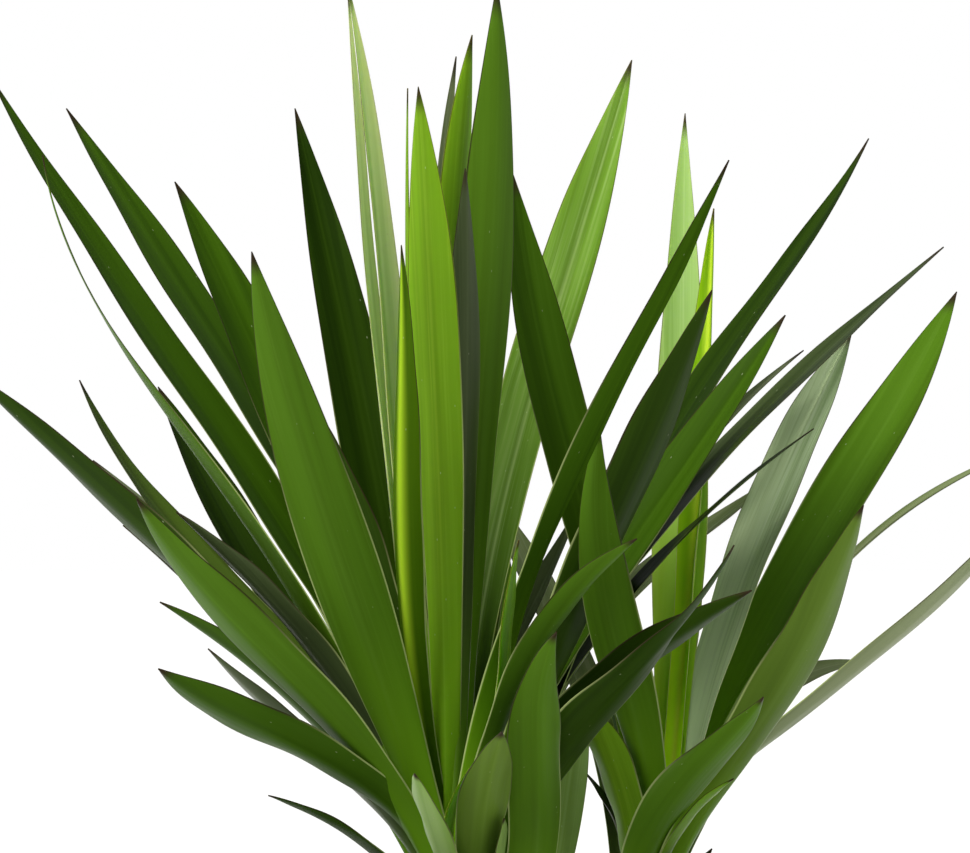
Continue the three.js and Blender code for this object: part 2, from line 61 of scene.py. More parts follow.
# The pot, soil and cane of the model give the sizes that their fine pieces start from.
_, POT_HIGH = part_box("pot")
SOIL_LOW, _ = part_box("soil")
CANE_LOW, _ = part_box("cane")
CLEARANCE = 0.3 * MM

# The photograph's eye, level and square to the plant. Leaf points are placed as it sees them, across
# and in height, in the upright plane of the cane.
EYE = np.array((-42 * MM, -4.0, 742 * MM))
PHOTO_COLUMNS = 970
COLUMN_SPAN = 0.6 * MM
VIEW_WIDTH = PHOTO_COLUMNS * COLUMN_SPAN
SENSOR = 36.0
FAR_CLIP = 200

# The stems, from the socket in the cane's shoulder through a bend to the growing tip, in millimetres.
LEFT_STEM = [(-22, 0, 362), (-50, -14, 432), (-65, -25, 503)]
RIGHT_STEM = [(22, 3, 362), (50, 20, 430), (66, 36, 500)]

# Leaves stand on these shares of the stem, from its tip down, a little off its axis.
UPPER_ROOTS = (0.97, 0.36)
LOWER_ROOTS = (0.35, 0.27)
ROOT_OFFSET = 6 * MM
FIRST_SEEDS = {"left": 400, "right": 500}

# A blade takes its own width, turn, fold, twist and waves over these shares of its length.
NECK_TOP = 0.1
TURN_SHARES = (0.03, 0.45)
FOLD_SHARES = (0, 0.4)
TWIST_SHARES = (0.5, 0.9)
WAVE_RISE = (0.1, 0.4)
WAVE_FALL = (0.8, 1.0)

# The fold at the root in degrees, how late a leaf leans out in depth, and how strongly the upper face
# of a hanging leaf turns up.
ROOT_FOLD = 34
REACH_POWER = 1.3
UPWARD_PULL = 3.0

# A blade's section: the keel's rounding, what it takes from the fold, and the body left at the
# margins. Powers crowd the corners towards the margins and the sections towards the tip.
KEEL_ROUNDNESS = 0.3
KEEL_LOSS = 0.35
MARGIN_BODY = 0.3
MARGIN_POWER = 1.25
STATION_POWER = 0.94
TIP_WIDTH = 0.015
USUAL_WIDTH = 42
WAVES = (2.0, 4.5)
STREAK_FIELD = 7

# Edges stay sharp where faces meet at more than these angles.
SHARP_ANGLE = math.radians(40)
BLADE_SHARP_ANGLE = math.radians(50)
BARK_SHARP_ANGLE = math.radians(55)
SOIL_SHARP_ANGLE = math.radians(70)


@dataclass
class Leaf:
    """One leaf in millimetres and degrees, as the eye sees it. tip is (across, depth, height), via
    holds points that the middle line passes, and shows is how wide the blade looks at its widest.
    wide is its true width there, fold how far each half is folded up, and neck the width above its
    root as a share. It is widest at belly, a share of its length, and narrows from there by the power
    taper, and twist turns its outer half."""

    look: str
    tip: tuple
    via: list
    shows: float = None
    wide: float = USUAL_WIDTH
    fold: float = 17
    neck: float = 0.6
    belly: float = 0.66
    taper: float = 2
    twist: float = 0


# Leaves from the youngest to the oldest: the ones that the photograph shows, the made-up ones behind
# them, and the oldest, which arch out below its frame.
LEFT_LEAVES = [
    Leaf("sheer", (-82, -150, 946), [(-66, 638), (-70, 758)], shows=29, wide=32),
    Leaf("keeled", (-92, -190, 851), [(-82, 590), (-88, 700)], shows=17, wide=26, fold=40, belly=0.5),
    Leaf("sheer", (-50, -25, 977), [(-66, 760), (-59, 903)], shows=16, wide=26, belly=0.8),
    Leaf("grey", (-59, 40, 964), [(-66, 700), (-67, 880)], shows=13, wide=26),
    Leaf("dusk", (-54, -100, 897), [(-57, 728)], shows=21, wide=30),
    Leaf("sheer", (-88, -70, 945), [(-86, 760)], shows=2, wide=16, fold=4),
    Leaf("glow", (-124, 0, 1007), [(-94.5, 773), (-105, 884)], shows=13.5, wide=30, belly=0.55),
    Leaf("glow", (-124, 40, 1005), [(-104, 773), (-114, 881)], shows=6, wide=24, fold=8),
    Leaf("mid", (-35, -60, 1007), [(-54.5, 660), (-43.5, 818)], shows=32, wide=40),
    Leaf("sheer", (-22, -190, 674), [(-32.5, 586), (-29, 623)], shows=6.5, wide=20, fold=6),
    Leaf("striped", (46, 200, 962), [(-38, 674), (-3.5, 806)], shows=34),
    Leaf("deep", (-156, 80, 933), [(-116, 758)], shows=37, belly=0.5),
    Leaf("dull", (104, -340, 902), [(-28, 620), (21, 739)], shows=13, wide=40, fold=8, neck=0.45),
    Leaf("mid", (49, -250, 675), [(-33, 571), (1, 633)], shows=15, wide=30, neck=0.4),
    Leaf("deep", (-150, -45, 763), [(-118, 684)], shows=22, wide=40),
    Leaf("mid", (-182, -230, 847), [(-103, 590), (-146, 715)], shows=42, wide=44, belly=0.5),
    Leaf("deep", (94, -80, 824), [(-4, 605), (44, 713)], shows=28, neck=0.75),
    Leaf("deep", (188, 110, 915), [(24, 650), (110, 800), (161, 871)], shows=16, wide=38, fold=8,
         belly=0.55),
    Leaf("dark", (-228, 70, 889), [(-159, 747)], shows=32, wide=44),
    Leaf("dark", (-293, 150, 933), [(-146, 701), (-219, 821)], shows=22, fold=10, neck=0.45),
    Leaf("dark", (138, 0, 809), [(-2, 599), (75, 721)], shows=25, wide=44),
    Leaf("dark", (-339, 40, 953), [(-163, 686), (-273, 848)], shows=20, fold=12, belly=0.5),
    Leaf("dusk", (233, 45, 850), [(15, 622), (136, 764)], shows=12, fold=8, belly=0.5),
    Leaf("deep", (-238, 195, 766), [(-195, 691)], shows=24, wide=40),
    Leaf("mid", (-307, -30, 905), [(-138, 616), (-224, 741), (-285, 836)], shows=12, wide=38,
         fold=4, belly=0.36, taper=1.1, twist=14),
    Leaf("grey", (149, 85, 788), [(90, 735)], shows=8, wide=30, fold=6),
    Leaf("dusk", (-227, -40, 691), [(-157, 627)], shows=14, wide=34),
    Leaf("olive", (-285, 60, 770), [(-184, 636), (-244, 703)], shows=15, wide=38, fold=8, neck=0.4,
         twist=10),
    Leaf("grey", (129, 220, 710), [(-5, 575), (55, 655), (98, 688)], shows=11, wide=36),
    Leaf("deep", (-354, -40, 778), [(-150, 585), (-236, 675)], shows=19),
    Leaf("deep", (155, 60, 741), [(-6, 572), (76, 677)], shows=6, wide=30, fold=4, twist=10),
    Leaf("grey", (-277, 100, 722), [(-244, 695)], shows=3, wide=26, fold=4),
    Leaf("dusk", (-259, 30, 683), [(-130, 560), (-200, 632)], shows=3, wide=26, fold=4),
    Leaf("mid", (-251, -220, 699), [(-94, 520), (-153.5, 591.5)], shows=26, wide=38),
    Leaf("deep", (118, -220, 644), [(-5, 556), (55, 610)], shows=21, wide=40),
    Leaf("dark", (-237, -60, 637), [(-195, 613)], shows=14, wide=36),
    Leaf("dusk", (-208, -85, 609), [(-105, 515), (-177, 581)], shows=11, wide=26, fold=10),
    Leaf("dark", (-238, -150, 597), [(-113, 530), (-187, 570)], shows=23, wide=38, belly=0.76),
    Leaf("deep", (107, -300, 671), [(-11, 531), (40, 592)], shows=27, wide=40, belly=0.42, twist=36),
    Leaf("milky", (-84, -260, 534), [(-69, 496)], shows=14, wide=30, neck=0.85),
    Leaf("sheer", (-46, -200, 543), [(-59, 522)], shows=5, wide=22, fold=8),
    Leaf("olive", (-32, -280, 559), [(-44, 512)], shows=29, wide=33),
    Leaf("deep", (-172, -100, 521), [(-112, 491)], shows=7, wide=26, fold=4),
    Leaf("milky", (-31, -180, 507), [(-33, 490)], shows=6, wide=24, fold=8),
    Leaf("milky", (22, -65, 584), [(-1, 486), (7, 540)], shows=27, wide=34, neck=0.85),
    Leaf("mid", (1, -260, 619), [(-14, 486), (-13, 555)], shows=31, wide=36, neck=0.9, taper=1.6),
    Leaf("dark", (-192, -60, 485), [(-120, 460)], shows=8, wide=28),
]

RIGHT_LEAVES = [
    Leaf("lit", (95, 130, 873), [(77, 640), (85, 760)], shows=13, wide=24, fold=45),
    Leaf("pale", (78, 200, 930), [(74, 665), (76, 800)], shows=34, wide=38, belly=0.45, taper=1.6),
    Leaf("dark", (-25, 60, 893), [(34, 632), (0, 765)], shows=33, wide=40),
    Leaf("mid", (27, -160, 741), [(49, 572), (34, 632), (25.5, 690)], shows=31, wide=35, belly=0.5),
    Leaf("silver", (178, 120, 799), [(95, 605), (133, 709)], shows=26, wide=38, belly=0.7, taper=2.4),
    Leaf("mid", (241, 260, 823), [(117, 608), (176, 711)], shows=33),
    Leaf("grey", (305, 60, 735), [(182, 669), (228, 704)], shows=3, wide=14, fold=8),
    Leaf("olive", (185, -200, 695), [(102, 540), (134, 590), (159, 638)], shows=30, wide=40, belly=0.55),
    Leaf("grey", (186, 150, 601), [(118, 575), (152, 595)], shows=14, wide=24, fold=8),
    Leaf("grey", (300, 20, 704), [(98, 530), (133, 561), (184, 601)], shows=11.5, wide=30, fold=8),
    Leaf("fresh", (12, -20, 584), [(36, 540)], shows=21, wide=34),
    Leaf("fresh", (107, -120, 531), [(80, 508)], shows=7, wide=24, fold=6, neck=0.45),
    Leaf("mid", (125, -260, 580), [(72, 524), (97, 550)], shows=27, wide=36, belly=0.5),
    Leaf("deep", (17, 60, 536), [(31, 518)], shows=4, wide=24, fold=4),
    Leaf("deep", (94, -60, 489), [(78, 470)], shows=10, wide=28),
]

LEFT_REAR = [
    Leaf("mid", (-62, 330, 862), [(-68, 680)]),
    Leaf("dark", (-80, 400, 770), [(-76, 640)]),
    Leaf("olive", (12, 240, 850), [(-36, 674)], shows=26),
    Leaf("mid", (-140, 400, 880), [(-112, 740)], shows=30),
    Leaf("deep", (-45, 410, 700), [(-58, 600)]),
    Leaf("dark", (-192, 280, 812), [(-140, 710)], shows=24),
    Leaf("mid", (-245, 330, 806), [(-160, 682)], shows=14),
    Leaf("dark", (-166, 330, 760), [(-103, 590), (-140, 690)], shows=34),
    Leaf("olive", (-128, 340, 720), [(-98, 610)]),
    Leaf("mid", (-34, 270, 690), [(-45, 590)]),
    Leaf("grey", (14, 120, 694), [(-30, 610), (-7, 654)], shows=13, wide=34),
]

RIGHT_REAR = [
    Leaf("mid", (80, 380, 800), [(74, 650)], shows=26),
    Leaf("dark", (-10, 430, 815), [(33, 636)], shows=26),
    Leaf("olive", (75, 420, 720), [(72, 600)], shows=28),
    Leaf("mid", (205, 420, 760), [(115, 606), (160, 686)], shows=26),
    Leaf("deep", (150, 340, 740), [(95, 605)], shows=18),
    Leaf("dark", (150, 330, 640), [(84, 530), (118, 586)], shows=22),
    Leaf("mid", (110, 380, 600), [(90, 545)]),
    Leaf("dark", (30, 350, 600), [(47, 545)], shows=30),
    Leaf("olive", (75, 300, 560), [(70, 520)]),
    Leaf("grey", (-40, 210, 706), [(18, 588), (-5, 640)], shows=20, wide=38),
]

LEFT_LOW = [
    Leaf("mid", (-290, 60, 430), [(-170, 452)]),
    Leaf("dark", (-60, 380, 430), [(-56, 445)]),
    Leaf("olive", (-230, -200, 430), [(-140, 450)]),
    Leaf("mid", (-200, 220, 440), [(-125, 448)]),
    Leaf("deep", (-122, -325, 412), [(-90, 448)]),
    Leaf("dark", (-150, 300, 415), [(-105, 440)]),
    Leaf("mid", (-30, -260, 395), [(-42, 436)]),
    Leaf("dark", (-265, -90, 390), [(-160, 436)]),
]

RIGHT_LOW = [
    Leaf("mid", (320, 0, 450), [(190, 460)]),
    Leaf("dark", (60, 390, 440), [(62, 448)]),
    Leaf("olive", (260, -180, 445), [(160, 458)]),
    Leaf("mid", (230, 220, 445), [(150, 456)]),
    Leaf("deep", (90, -330, 420), [(78, 450)]),
    Leaf("dark", (150, 320, 425), [(105, 446)]),
    Leaf("mid", (190, -280, 410), [(125, 442)]),
    Leaf("dark", (12, -235, 388), [(42, 432)]),
    Leaf("olive", (280, 110, 395), [(175, 440)]),
]


class YuccaPotSettings(bpy.types.PropertyGroup):
    wall: bpy.props.FloatProperty(
        name="Wall", description="Thickness of the pot's wall", default=4 * MM, unit="LENGTH")
    floor: bpy.props.FloatProperty(
        name="Floor", description="Thickness of the pot's floor", default=7 * MM, unit="LENGTH")
    base_radius: bpy.props.FloatProperty(
        name="Base Radius", description="Radius of the wall at the floor", default=84 * MM, unit="LENGTH")
    rim_height: bpy.props.FloatProperty(
        name="Rim Height", description="Height of the rim band", default=24 * MM, unit="LENGTH")
    rim_overhang: bpy.props.FloatProperty(
        name="Rim Overhang", description="How far the rim stands proud", default=4 * MM, unit="LENGTH")
    edge_round: bpy.props.FloatProperty(
        name="Edge Round", description="Radius of the pot's edges", default=1.5 * MM, unit="LENGTH")
    drain_radius: bpy.props.FloatProperty(
        name="Drain Radius", description="Radius of a drain hole", default=6 * MM, unit="LENGTH")
    drain_circle: bpy.props.FloatProperty(
        name="Drain Circle", description="Radius that the holes stand on", default=48 * MM, unit="LENGTH")
    drains: bpy.props.IntProperty(
        name="Drains", description="Number of drain holes", default=6, min=1)
    colour: bpy.props.FloatVectorProperty(
        name="Colour", description="Colour of the pot", default=(0.42, 0.145, 0.068), size=3,
        subtype="COLOR")


class YuccaSoilSettings(bpy.types.PropertyGroup):
    level: bpy.props.FloatProperty(
        name="Level", description="Height of the soil at the pot's wall", default=164 * MM, unit="LENGTH")
    crown: bpy.props.FloatProperty(
        name="Crown", description="How much the soil rises to the cane", default=6 * MM, unit="LENGTH")
    unevenness: bpy.props.FloatProperty(
        name="Unevenness", description="Height of the surface's lumps", default=1.6 * MM, unit="LENGTH")
    crumbs: bpy.props.IntProperty(
        name="Crumbs", description="Number of loose crumbs on the surface", default=900, min=0)
    colour: bpy.props.FloatVectorProperty(
        name="Colour", description="Colour of the soil", default=(0.034, 0.019, 0.011), size=3,
        subtype="COLOR")


class YuccaCaneSettings(bpy.types.PropertyGroup):
    radius: bpy.props.FloatProperty(
        name="Radius", description="Radius at the foot", default=30 * MM, unit="LENGTH")
    top_radius: bpy.props.FloatProperty(
        name="Top Radius", description="Radius at the sawn top", default=28 * MM, unit="LENGTH")
    collar_radius: bpy.props.FloatProperty(
        name="Collar Radius", description="Radius of the swelling round a shoot", default=20 * MM,
        unit="LENGTH")
    bark_depth: bpy.props.FloatProperty(
        name="Bark Depth", description="Depth of the cracks in the bark", default=2.6 * MM, unit="LENGTH")
    colour: bpy.props.FloatVectorProperty(
        name="Colour", description="Colour of the bark", default=(0.235, 0.165, 0.100), size=3,
        subtype="COLOR")


class YuccaLeafSettings(bpy.types.PropertyGroup):
    thickness: bpy.props.FloatProperty(
        name="Thickness", description="Thickness of a blade at its root", default=2.2 * MM, unit="LENGTH")
    tip_thickness: bpy.props.FloatProperty(
        name="Tip Thickness", description="Thickness of a blade at its tip", default=0.8 * MM,
        unit="LENGTH")
    wave: bpy.props.FloatProperty(
        name="Wave", description="How far the margins wave", default=0.9 * MM, unit="LENGTH")
    stations: bpy.props.IntProperty(
        name="Stations", description="Sections along a blade", default=60, min=8)
    columns: bpy.props.IntProperty(
        name="Columns", description="Corners across a blade", default=15, min=5)
    margin: bpy.props.FloatVectorProperty(
        name="Margin", description="Colour of the thin pale margin", default=(0.42, 0.5, 0.19), size=3,
        subtype="COLOR")
    tip: bpy.props.FloatVectorProperty(
        name="Tip", description="Colour of the dry tip", default=(0.03, 0.02, 0.01), size=3,
        subtype="COLOR")


class YuccaStageSettings(bpy.types.PropertyGroup):
    floor_size: bpy.props.FloatProperty(
        name="Floor Size", description="Width of the pale floor", default=60.0, unit="LENGTH")
    key_strength: bpy.props.FloatProperty(
        name="Key Strength", description="Strength of the large key light", default=3.5)
    key_softness: bpy.props.FloatProperty(
        name="Key Softness", description="How wide the key light looks", default=math.radians(38),
        subtype="ANGLE")
    sky_strength: bpy.props.FloatProperty(
        name="Sky Strength", description="Strength of the light from all round", default=0.42)
    sky_gloss: bpy.props.FloatProperty(
        name="Sky Gloss", description="Strength of the surroundings that gloss reflects", default=0.2)


@dataclass
class Look:
    """How a blade looks: the linear colours of its darkest streaks, its body and its lightest streaks,
    how rough and how glossy it is, how much light passes through it, and the colour of a broad ridge
    if it has one, which is a painted highlight along the fold. root is the colour at its foot, with its
    strength there and how far up the blade it reaches: the leaf's paler base, together with painted
    light that passes through the blade and lifts the shade at its foot."""

    shade: tuple
    body: tuple
    light: tuple
    roughness: float = 0.4
    gloss: float = 0.06
    passes: float = 0
    ridge: tuple = None
    root: tuple = (0.19, 0.42, 0.01)
    root_strength: float = 0.65
    root_reach: float = 0.45


LOOKS = {
    "deep": Look((0.009, 0.025, 0.001), (0.020, 0.048, 0.002), (0.036, 0.078, 0.006)),
    "dull": Look((0.020, 0.052, 0.002), (0.034, 0.086, 0.003), (0.050, 0.118, 0.007), gloss=0.0),
    "dark": Look((0.025, 0.064, 0.002), (0.041, 0.101, 0.003), (0.060, 0.138, 0.008)),
    "mid": Look((0.048, 0.110, 0.003), (0.071, 0.166, 0.007), (0.104, 0.222, 0.017)),
    "olive": Look((0.065, 0.116, 0.008), (0.101, 0.180, 0.016), (0.148, 0.244, 0.042)),
    "dusk": Look((0.018, 0.030, 0.008), (0.040, 0.062, 0.018), (0.110, 0.150, 0.060), 0.34, 0.25),
    "fresh": Look((0.080, 0.170, 0.003), (0.125, 0.270, 0.007), (0.210, 0.370, 0.024), passes=0.4),
    "sheer": Look((0.078, 0.172, 0.002), (0.146, 0.316, 0.006), (0.290, 0.470, 0.036), passes=0.6),
    "striped": Look((0.070, 0.150, 0.006), (0.140, 0.270, 0.028), (0.460, 0.600, 0.230), passes=0.4,
                    root=(0.025, 0.070, 0.001), root_strength=0.95, root_reach=0.8),
    # The ridge colours of keeled and lit are painted highlights along the fold.
    "keeled": Look((0.030, 0.075, 0.001), (0.058, 0.134, 0.002), (0.098, 0.206, 0.004), passes=0.3,
                   ridge=(0.36, 0.56, 0.02), root=(0.030, 0.075, 0.001), root_reach=0.8),
    # lit: its bright foot is painted light passing through the blade, laid over the shade at its root.
    "lit": Look((0.100, 0.230, 0.002), (0.240, 0.450, 0.008), (0.420, 0.620, 0.040), passes=0.7,
                ridge=(0.52, 0.70, 0.04), root=(0.48, 0.86, 0.01), root_strength=0.9, root_reach=0.7),
    # glow: a pale blade made brighter still, with the light through it painted into its colour and its
    # root.
    "glow": Look((0.420, 0.600, 0.200), (0.620, 0.800, 0.340), (0.760, 0.880, 0.500), passes=0.8,
                 root=(0.66, 0.94, 0.30), root_strength=0.8, root_reach=0.7),
    # pale: its bright yellow-green foot is painted light through the blade, where other leaves shade it.
    "pale": Look((0.190, 0.330, 0.070), (0.300, 0.460, 0.140), (0.450, 0.600, 0.260), passes=0.45,
                 root=(0.55, 0.90, 0.03), root_strength=0.9, root_reach=0.75),
    "milky": Look((0.120, 0.220, 0.030), (0.180, 0.310, 0.055), (0.300, 0.430, 0.140), passes=0.2),
    "grey": Look((0.110, 0.155, 0.045), (0.210, 0.260, 0.110), (0.400, 0.440, 0.270), gloss=0.15),
    # silver: its pale root colour reaches the whole blade and is painted light over the shade on its lower
    # half.
    "silver": Look((0.110, 0.190, 0.055), (0.290, 0.395, 0.205), (0.640, 0.720, 0.540), 0.3, 0.7,
                   root=(0.66, 0.80, 0.50), root_strength=0.9, root_reach=1.0),
}


def smoothstep(value, low, high):
    """A soft step from 0 at low to 1 at high."""
    part = np.clip((value - low) / (high - low), 0, 1)
    return part * part * (3 - 2 * part)


def lerp(low, high, part):
    return low + (high - low) * part


def unit(vectors):
    return vectors / np.linalg.norm(vectors, axis=-1, keepdims=True)


def run_lengths(points):
    """The length run along a chain of points, up to each of them."""
    return np.concatenate(([0], np.cumsum(np.linalg.norm(np.diff(points, axis=0), axis=1))))


def path_through(points):
    """A smooth path through a few points, met at their share of the summed chord lengths."""
    points = np.array(points, float)
    marks = run_lengths(points)
    marks /= marks[-1]

    def place(shares):
        found = np.zeros((len(shares), 3))
        for i, point in enumerate(points):
            weight = np.ones(len(shares))
            for j, mark in enumerate(marks):
                if j != i:
                    weight *= (shares - mark) / (marks[i] - mark)
            found += weight[:, None] * point
        return found

    return place


def stations_along(path, shares, steps=240):
    """Points at the given shares of a path's true length, the directions of travel and the length."""
    points = path(np.linspace(0, 1, steps + 1))
    lengths = run_lengths(points)
    wanted = np.asarray(shares) * lengths[-1]
    travel = np.gradient(points, lengths, axis=0)
    place = np.stack([np.interp(wanted, lengths, points[:, k]) for k in range(3)], axis=1)
    along = np.stack([np.interp(wanted, lengths, travel[:, k]) for k in range(3)], axis=1)
    return place, unit(along), lengths[-1]


def cross_axes(along):
    """The two directions across a path: the first sideways, the second towards the front."""
    level = unit(np.cross(along, (0.0, 1.0, 0.0)))
    return level, np.cross(along, level)


def sighted(across, depth, height):
    """A point that the eye sees at across and height in the cane's plane, pushed back to its depth."""
    spread = 1 + depth / -EYE[1]
    return (EYE[0] + (across - EYE[0]) * spread, depth, EYE[2] + (height - EYE[2]) * spread)


def as_seen(point):
    """Where the eye sees a point, across and in height in the cane's plane."""
    spread = 1 + point[1] / -EYE[1]
    return (EYE[0] + (point[0] - EYE[0]) / spread, EYE[2] + (point[2] - EYE[2]) / spread)


def leaf_path(leaf, root):
    """The middle line of a leaf, from its root in the stem to its tip."""
    tip_across, tip_depth, tip_height = (value * MM for value in leaf.tip)
    via = [(across * MM, height * MM) for across, height in leaf.via]
    seen = np.array([as_seen(root), *via, (tip_across, tip_height)])
    marks = run_lengths(seen)
    reach = (marks / marks[-1]) ** REACH_POWER
    points = [sighted(across, lerp(root[1], tip_depth, part), height)
              for (across, height), part in zip(seen, reach)]
    return path_through([root, *points[1:]])


def grown_turn(along, outward):
    """The angle by which a blade's side is turned about its length, as it grew: its upper face looks
    back to the stem, and upwards where the leaf hangs."""
    level, front = cross_axes(along)
    face = np.array((0, 0, UPWARD_PULL)) - outward
    face = face - along * np.sum(along * face, axis=-1, keepdims=True)
    return np.arctan2(-np.sum(face * level, axis=-1), np.sum(face * front, axis=-1))


def nearest_turn(turn, to):
    """The same turn, give or take whole rounds, as near as it gets to another."""
    return turn + np.round((to - turn) / (2 * math.pi)) * 2 * math.pi


def shown_turn(leaf, grown):
    """The turn that shows the wanted width, by the least twist away from how the blade grew."""
    if leaf.shows is None:
        return grown
    tilt = math.acos(min(1, leaf.shows / (leaf.wide * math.cos(math.radians(leaf.fold)))))
    choices = [nearest_turn(turn, grown) for turn in (tilt, -tilt, math.pi - tilt, math.pi + tilt)]
    return min(choices, key=lambda turn: abs(turn - grown))


def half_width(leaf, shares):
    """Half the width of a blade along its length: narrow at the neck, widest at the belly."""
    widening = lerp(leaf.neck, 1, smoothstep(shares, NECK_TOP, leaf.belly))
    past_belly = np.clip((shares - leaf.belly) / (1 - leaf.belly), 0, 1)
    narrowing = lerp(1, TIP_WIDTH, past_belly ** leaf.taper)
    return leaf.wide / 2 * MM * np.where(shares < leaf.belly, widening, narrowing)


def stem_path(stem):
    return path_through(np.array(stem) * MM)


def stem_share(stem, run):
    """The share of a stem's length that a run from its lower end makes up."""
    _, _, length = stations_along(stem_path(stem), [1])
    return run / length


def leaf_root(stem, leaf, share):
    """A leaf's root sits a little off the stem's axis, on the side that the leaf leans to."""
    (point,), _, _ = stations_along(stem_path(stem), [share])
    lean = unit(np.array((leaf.tip[0] * MM - point[0], leaf.tip[1] * MM - point[1], 0)))
    return point + lean * ROOT_OFFSET


def new_mesh(name, corners, faces, sharp_angle=SHARP_ANGLE):
    """A mesh object from corners and faces, smooth but for its sharp edges."""
    mesh = bpy.data.meshes.new(name)
    mesh.from_pydata([tuple(corner) for corner in corners], [], faces)
    mesh.validate()
    mesh.shade_smooth()
    mesh.set_sharp_from_angle(angle=sharp_angle)
    piece = bpy.data.objects.new(name, mesh)
    bpy.context.scene.collection.objects.link(piece)
    return piece


def ring_faces(rings, count, closed_ends=True):
    """Faces between rings of like corners, with one face over the first ring and one over the last."""
    faces = []
    for ring in range(rings - 1):
        for i in range(count):
            a = ring * count + i
            b = ring * count + (i + 1) % count
            faces.append((a, b, b + count, a + count))
    if closed_ends:
        last = (rings - 1) * count
        faces.append(tuple(range(count - 1, -1, -1)))
        faces.append(tuple(last + i for i in range(count)))
    return faces


def blade_ring(columns):
    """Across a blade from its left margin to its right one on the upper face, then back under it."""
    across = np.linspace(-1, 1, columns)
    across = np.sign(across) * (1 - (1 - np.abs(across)) ** MARGIN_POWER)
    return np.concatenate((across, across[::-1])), np.repeat((1.0, -1.0), columns)


def rounded_fold(across):
    """How deep a folded section lies at a place across it: nearly 1 at the keel and 0 at the margins."""
    far = math.hypot(1, KEEL_ROUNDNESS)
    depth = (far - np.hypot(across, KEEL_ROUNDNESS)) / (far - KEEL_ROUNDNESS)
    return depth * (1 - KEEL_LOSS * KEEL_ROUNDNESS)


def blade_axes(leaf, shares, along, outward):
    """The directions across a blade and out of its upper face, at the given shares of its length."""
    middle = len(shares) // 2
    wanted = float(shown_turn(leaf, grown_turn(along[middle], outward)))
    twist = math.radians(leaf.twist) * np.sign(math.sin(2 * wanted))
    grown = nearest_turn(grown_turn(along, outward), wanted)
    turn = lerp(grown, wanted, smoothstep(shares, *TURN_SHARES)) + twist * smoothstep(shares, *TWIST_SHARES)
    level, front = cross_axes(along)
    side = level * np.cos(turn)[:, None] + front * np.sin(turn)[:, None]
    return side, np.cross(along, side)


def margin_waves(leaf, shares, random):
    """How the left and the right margin wave along a blade, from -1 to 1 on one of the usual width."""
    counts = random.uniform(*WAVES, 2)
    phases = random.uniform(0, 2 * math.pi, 2)
    swell = smoothstep(shares, *WAVE_RISE) * (1 - smoothstep(shares, *WAVE_FALL)) * leaf.wide / USUAL_WIDTH
    return [swell * np.sin(2 * math.pi * count * shares + phase) for count, phase in zip(counts, phases)]


def mark_blade(mesh, across, upper, shares, half, length, shift):
    """Gives a blade what its material reads: where each corner lies across and along it and on which
    face, and a UV map in metres, shifted so that each blade has its own streaks."""
    places = np.zeros((len(shares), len(across), 3), np.float32)
    places[:, :, 0] = across
    places[:, :, 1] = shares[:, None]
    places[:, :, 2] = upper
    mesh.attributes.new("blade", "FLOAT_VECTOR", "POINT").data.foreach_set("vector", places.ravel())
    flat = np.zeros((len(shares), len(across), 2), np.float32)
    flat[:, :, 0] = shift[0] + across * half[:, None]
    flat[:, :, 1] = shift[1] + (shares * length)[:, None]
    corner_of = np.zeros(len(mesh.loops), np.int32)
    mesh.loops.foreach_get("vertex_index", corner_of)
    layer = mesh.uv_layers.new(name="blade_uv")
    layer.data.foreach_set("uv", flat.reshape(-1, 2)[corner_of].ravel())


def build_leaf(name, leaf, root, settings, seed):
    """One leaf as a thin closed blade with a folded section, waved margins and a pointed tip."""
    random = np.random.default_rng(seed)
    shares = np.linspace(0, 1, settings.stations) ** STATION_POWER
    place, along, length = stations_along(leaf_path(leaf, root), shares)
    outward = unit(np.array((place[-1][0] - root[0], place[-1][1] - root[1], 0)))
    side, face = blade_axes(leaf, shares, along, outward)
    fold = np.radians(lerp(ROOT_FOLD, leaf.fold, smoothstep(shares, *FOLD_SHARES)))
    half = half_width(leaf, shares)
    waves = margin_waves(leaf, shares, random)
    thickness = lerp(settings.thickness, settings.tip_thickness, shares)
    across, upper = blade_ring(settings.columns)
    corners = np.zeros((len(shares), len(across), 3))
    for i, (part, up) in enumerate(zip(across, upper)):
        wave = settings.wave * part * part * waves[int(part > 0)]
        body = thickness * (MARGIN_BODY + (1 - MARGIN_BODY) * math.sqrt(max(0.0, 1 - part * part)))
        drop = 0 if up > 0 else 1
        lift = wave - half * np.sin(fold) * rounded_fold(part) - drop * body / np.cos(fold)
        corners[:, i] = place + side * (part * half * np.cos(fold))[:, None] + face * lift[:, None]
    faces = ring_faces(len(shares), len(across))
    piece = new_mesh(name, corners.reshape(-1, 3), faces, BLADE_SHARP_ANGLE)
    mark_blade(piece.data, across, upper, shares, half, length, random.uniform(0, STREAK_FIELD, 2))
    piece.data.materials.append(leaf_material(leaf.look))
    return piece


def finish_piece(piece, node):
    """Fixes a piece to the body and shows it in place of a node of the model."""
    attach(piece, BODY)
    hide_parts(node)


def build_shoot(side, stem, leaves, rear, low):
    """A stem with its leaves: the ones that the eye sees, the ones behind them, and the oldest."""
    settings = bpy.context.scene.yucca_leaf
    node = f"crown_{side}"
    number = 0
    for row, roots in ((leaves, UPPER_ROOTS), (rear, UPPER_ROOTS), (low, LOWER_ROOTS)):
        for i, leaf in enumerate(row):
            number += 1
            root = leaf_root(stem, leaf, lerp(*roots, i / (len(row) - 1)))
            name = f"leaf_{side}_{number:02d}"
            piece = build_leaf(name, leaf, root, settings, FIRST_SEEDS[side] + number)
            finish_piece(piece, node)
    finish_piece(build_stem(f"stem_{side}", stem), node)


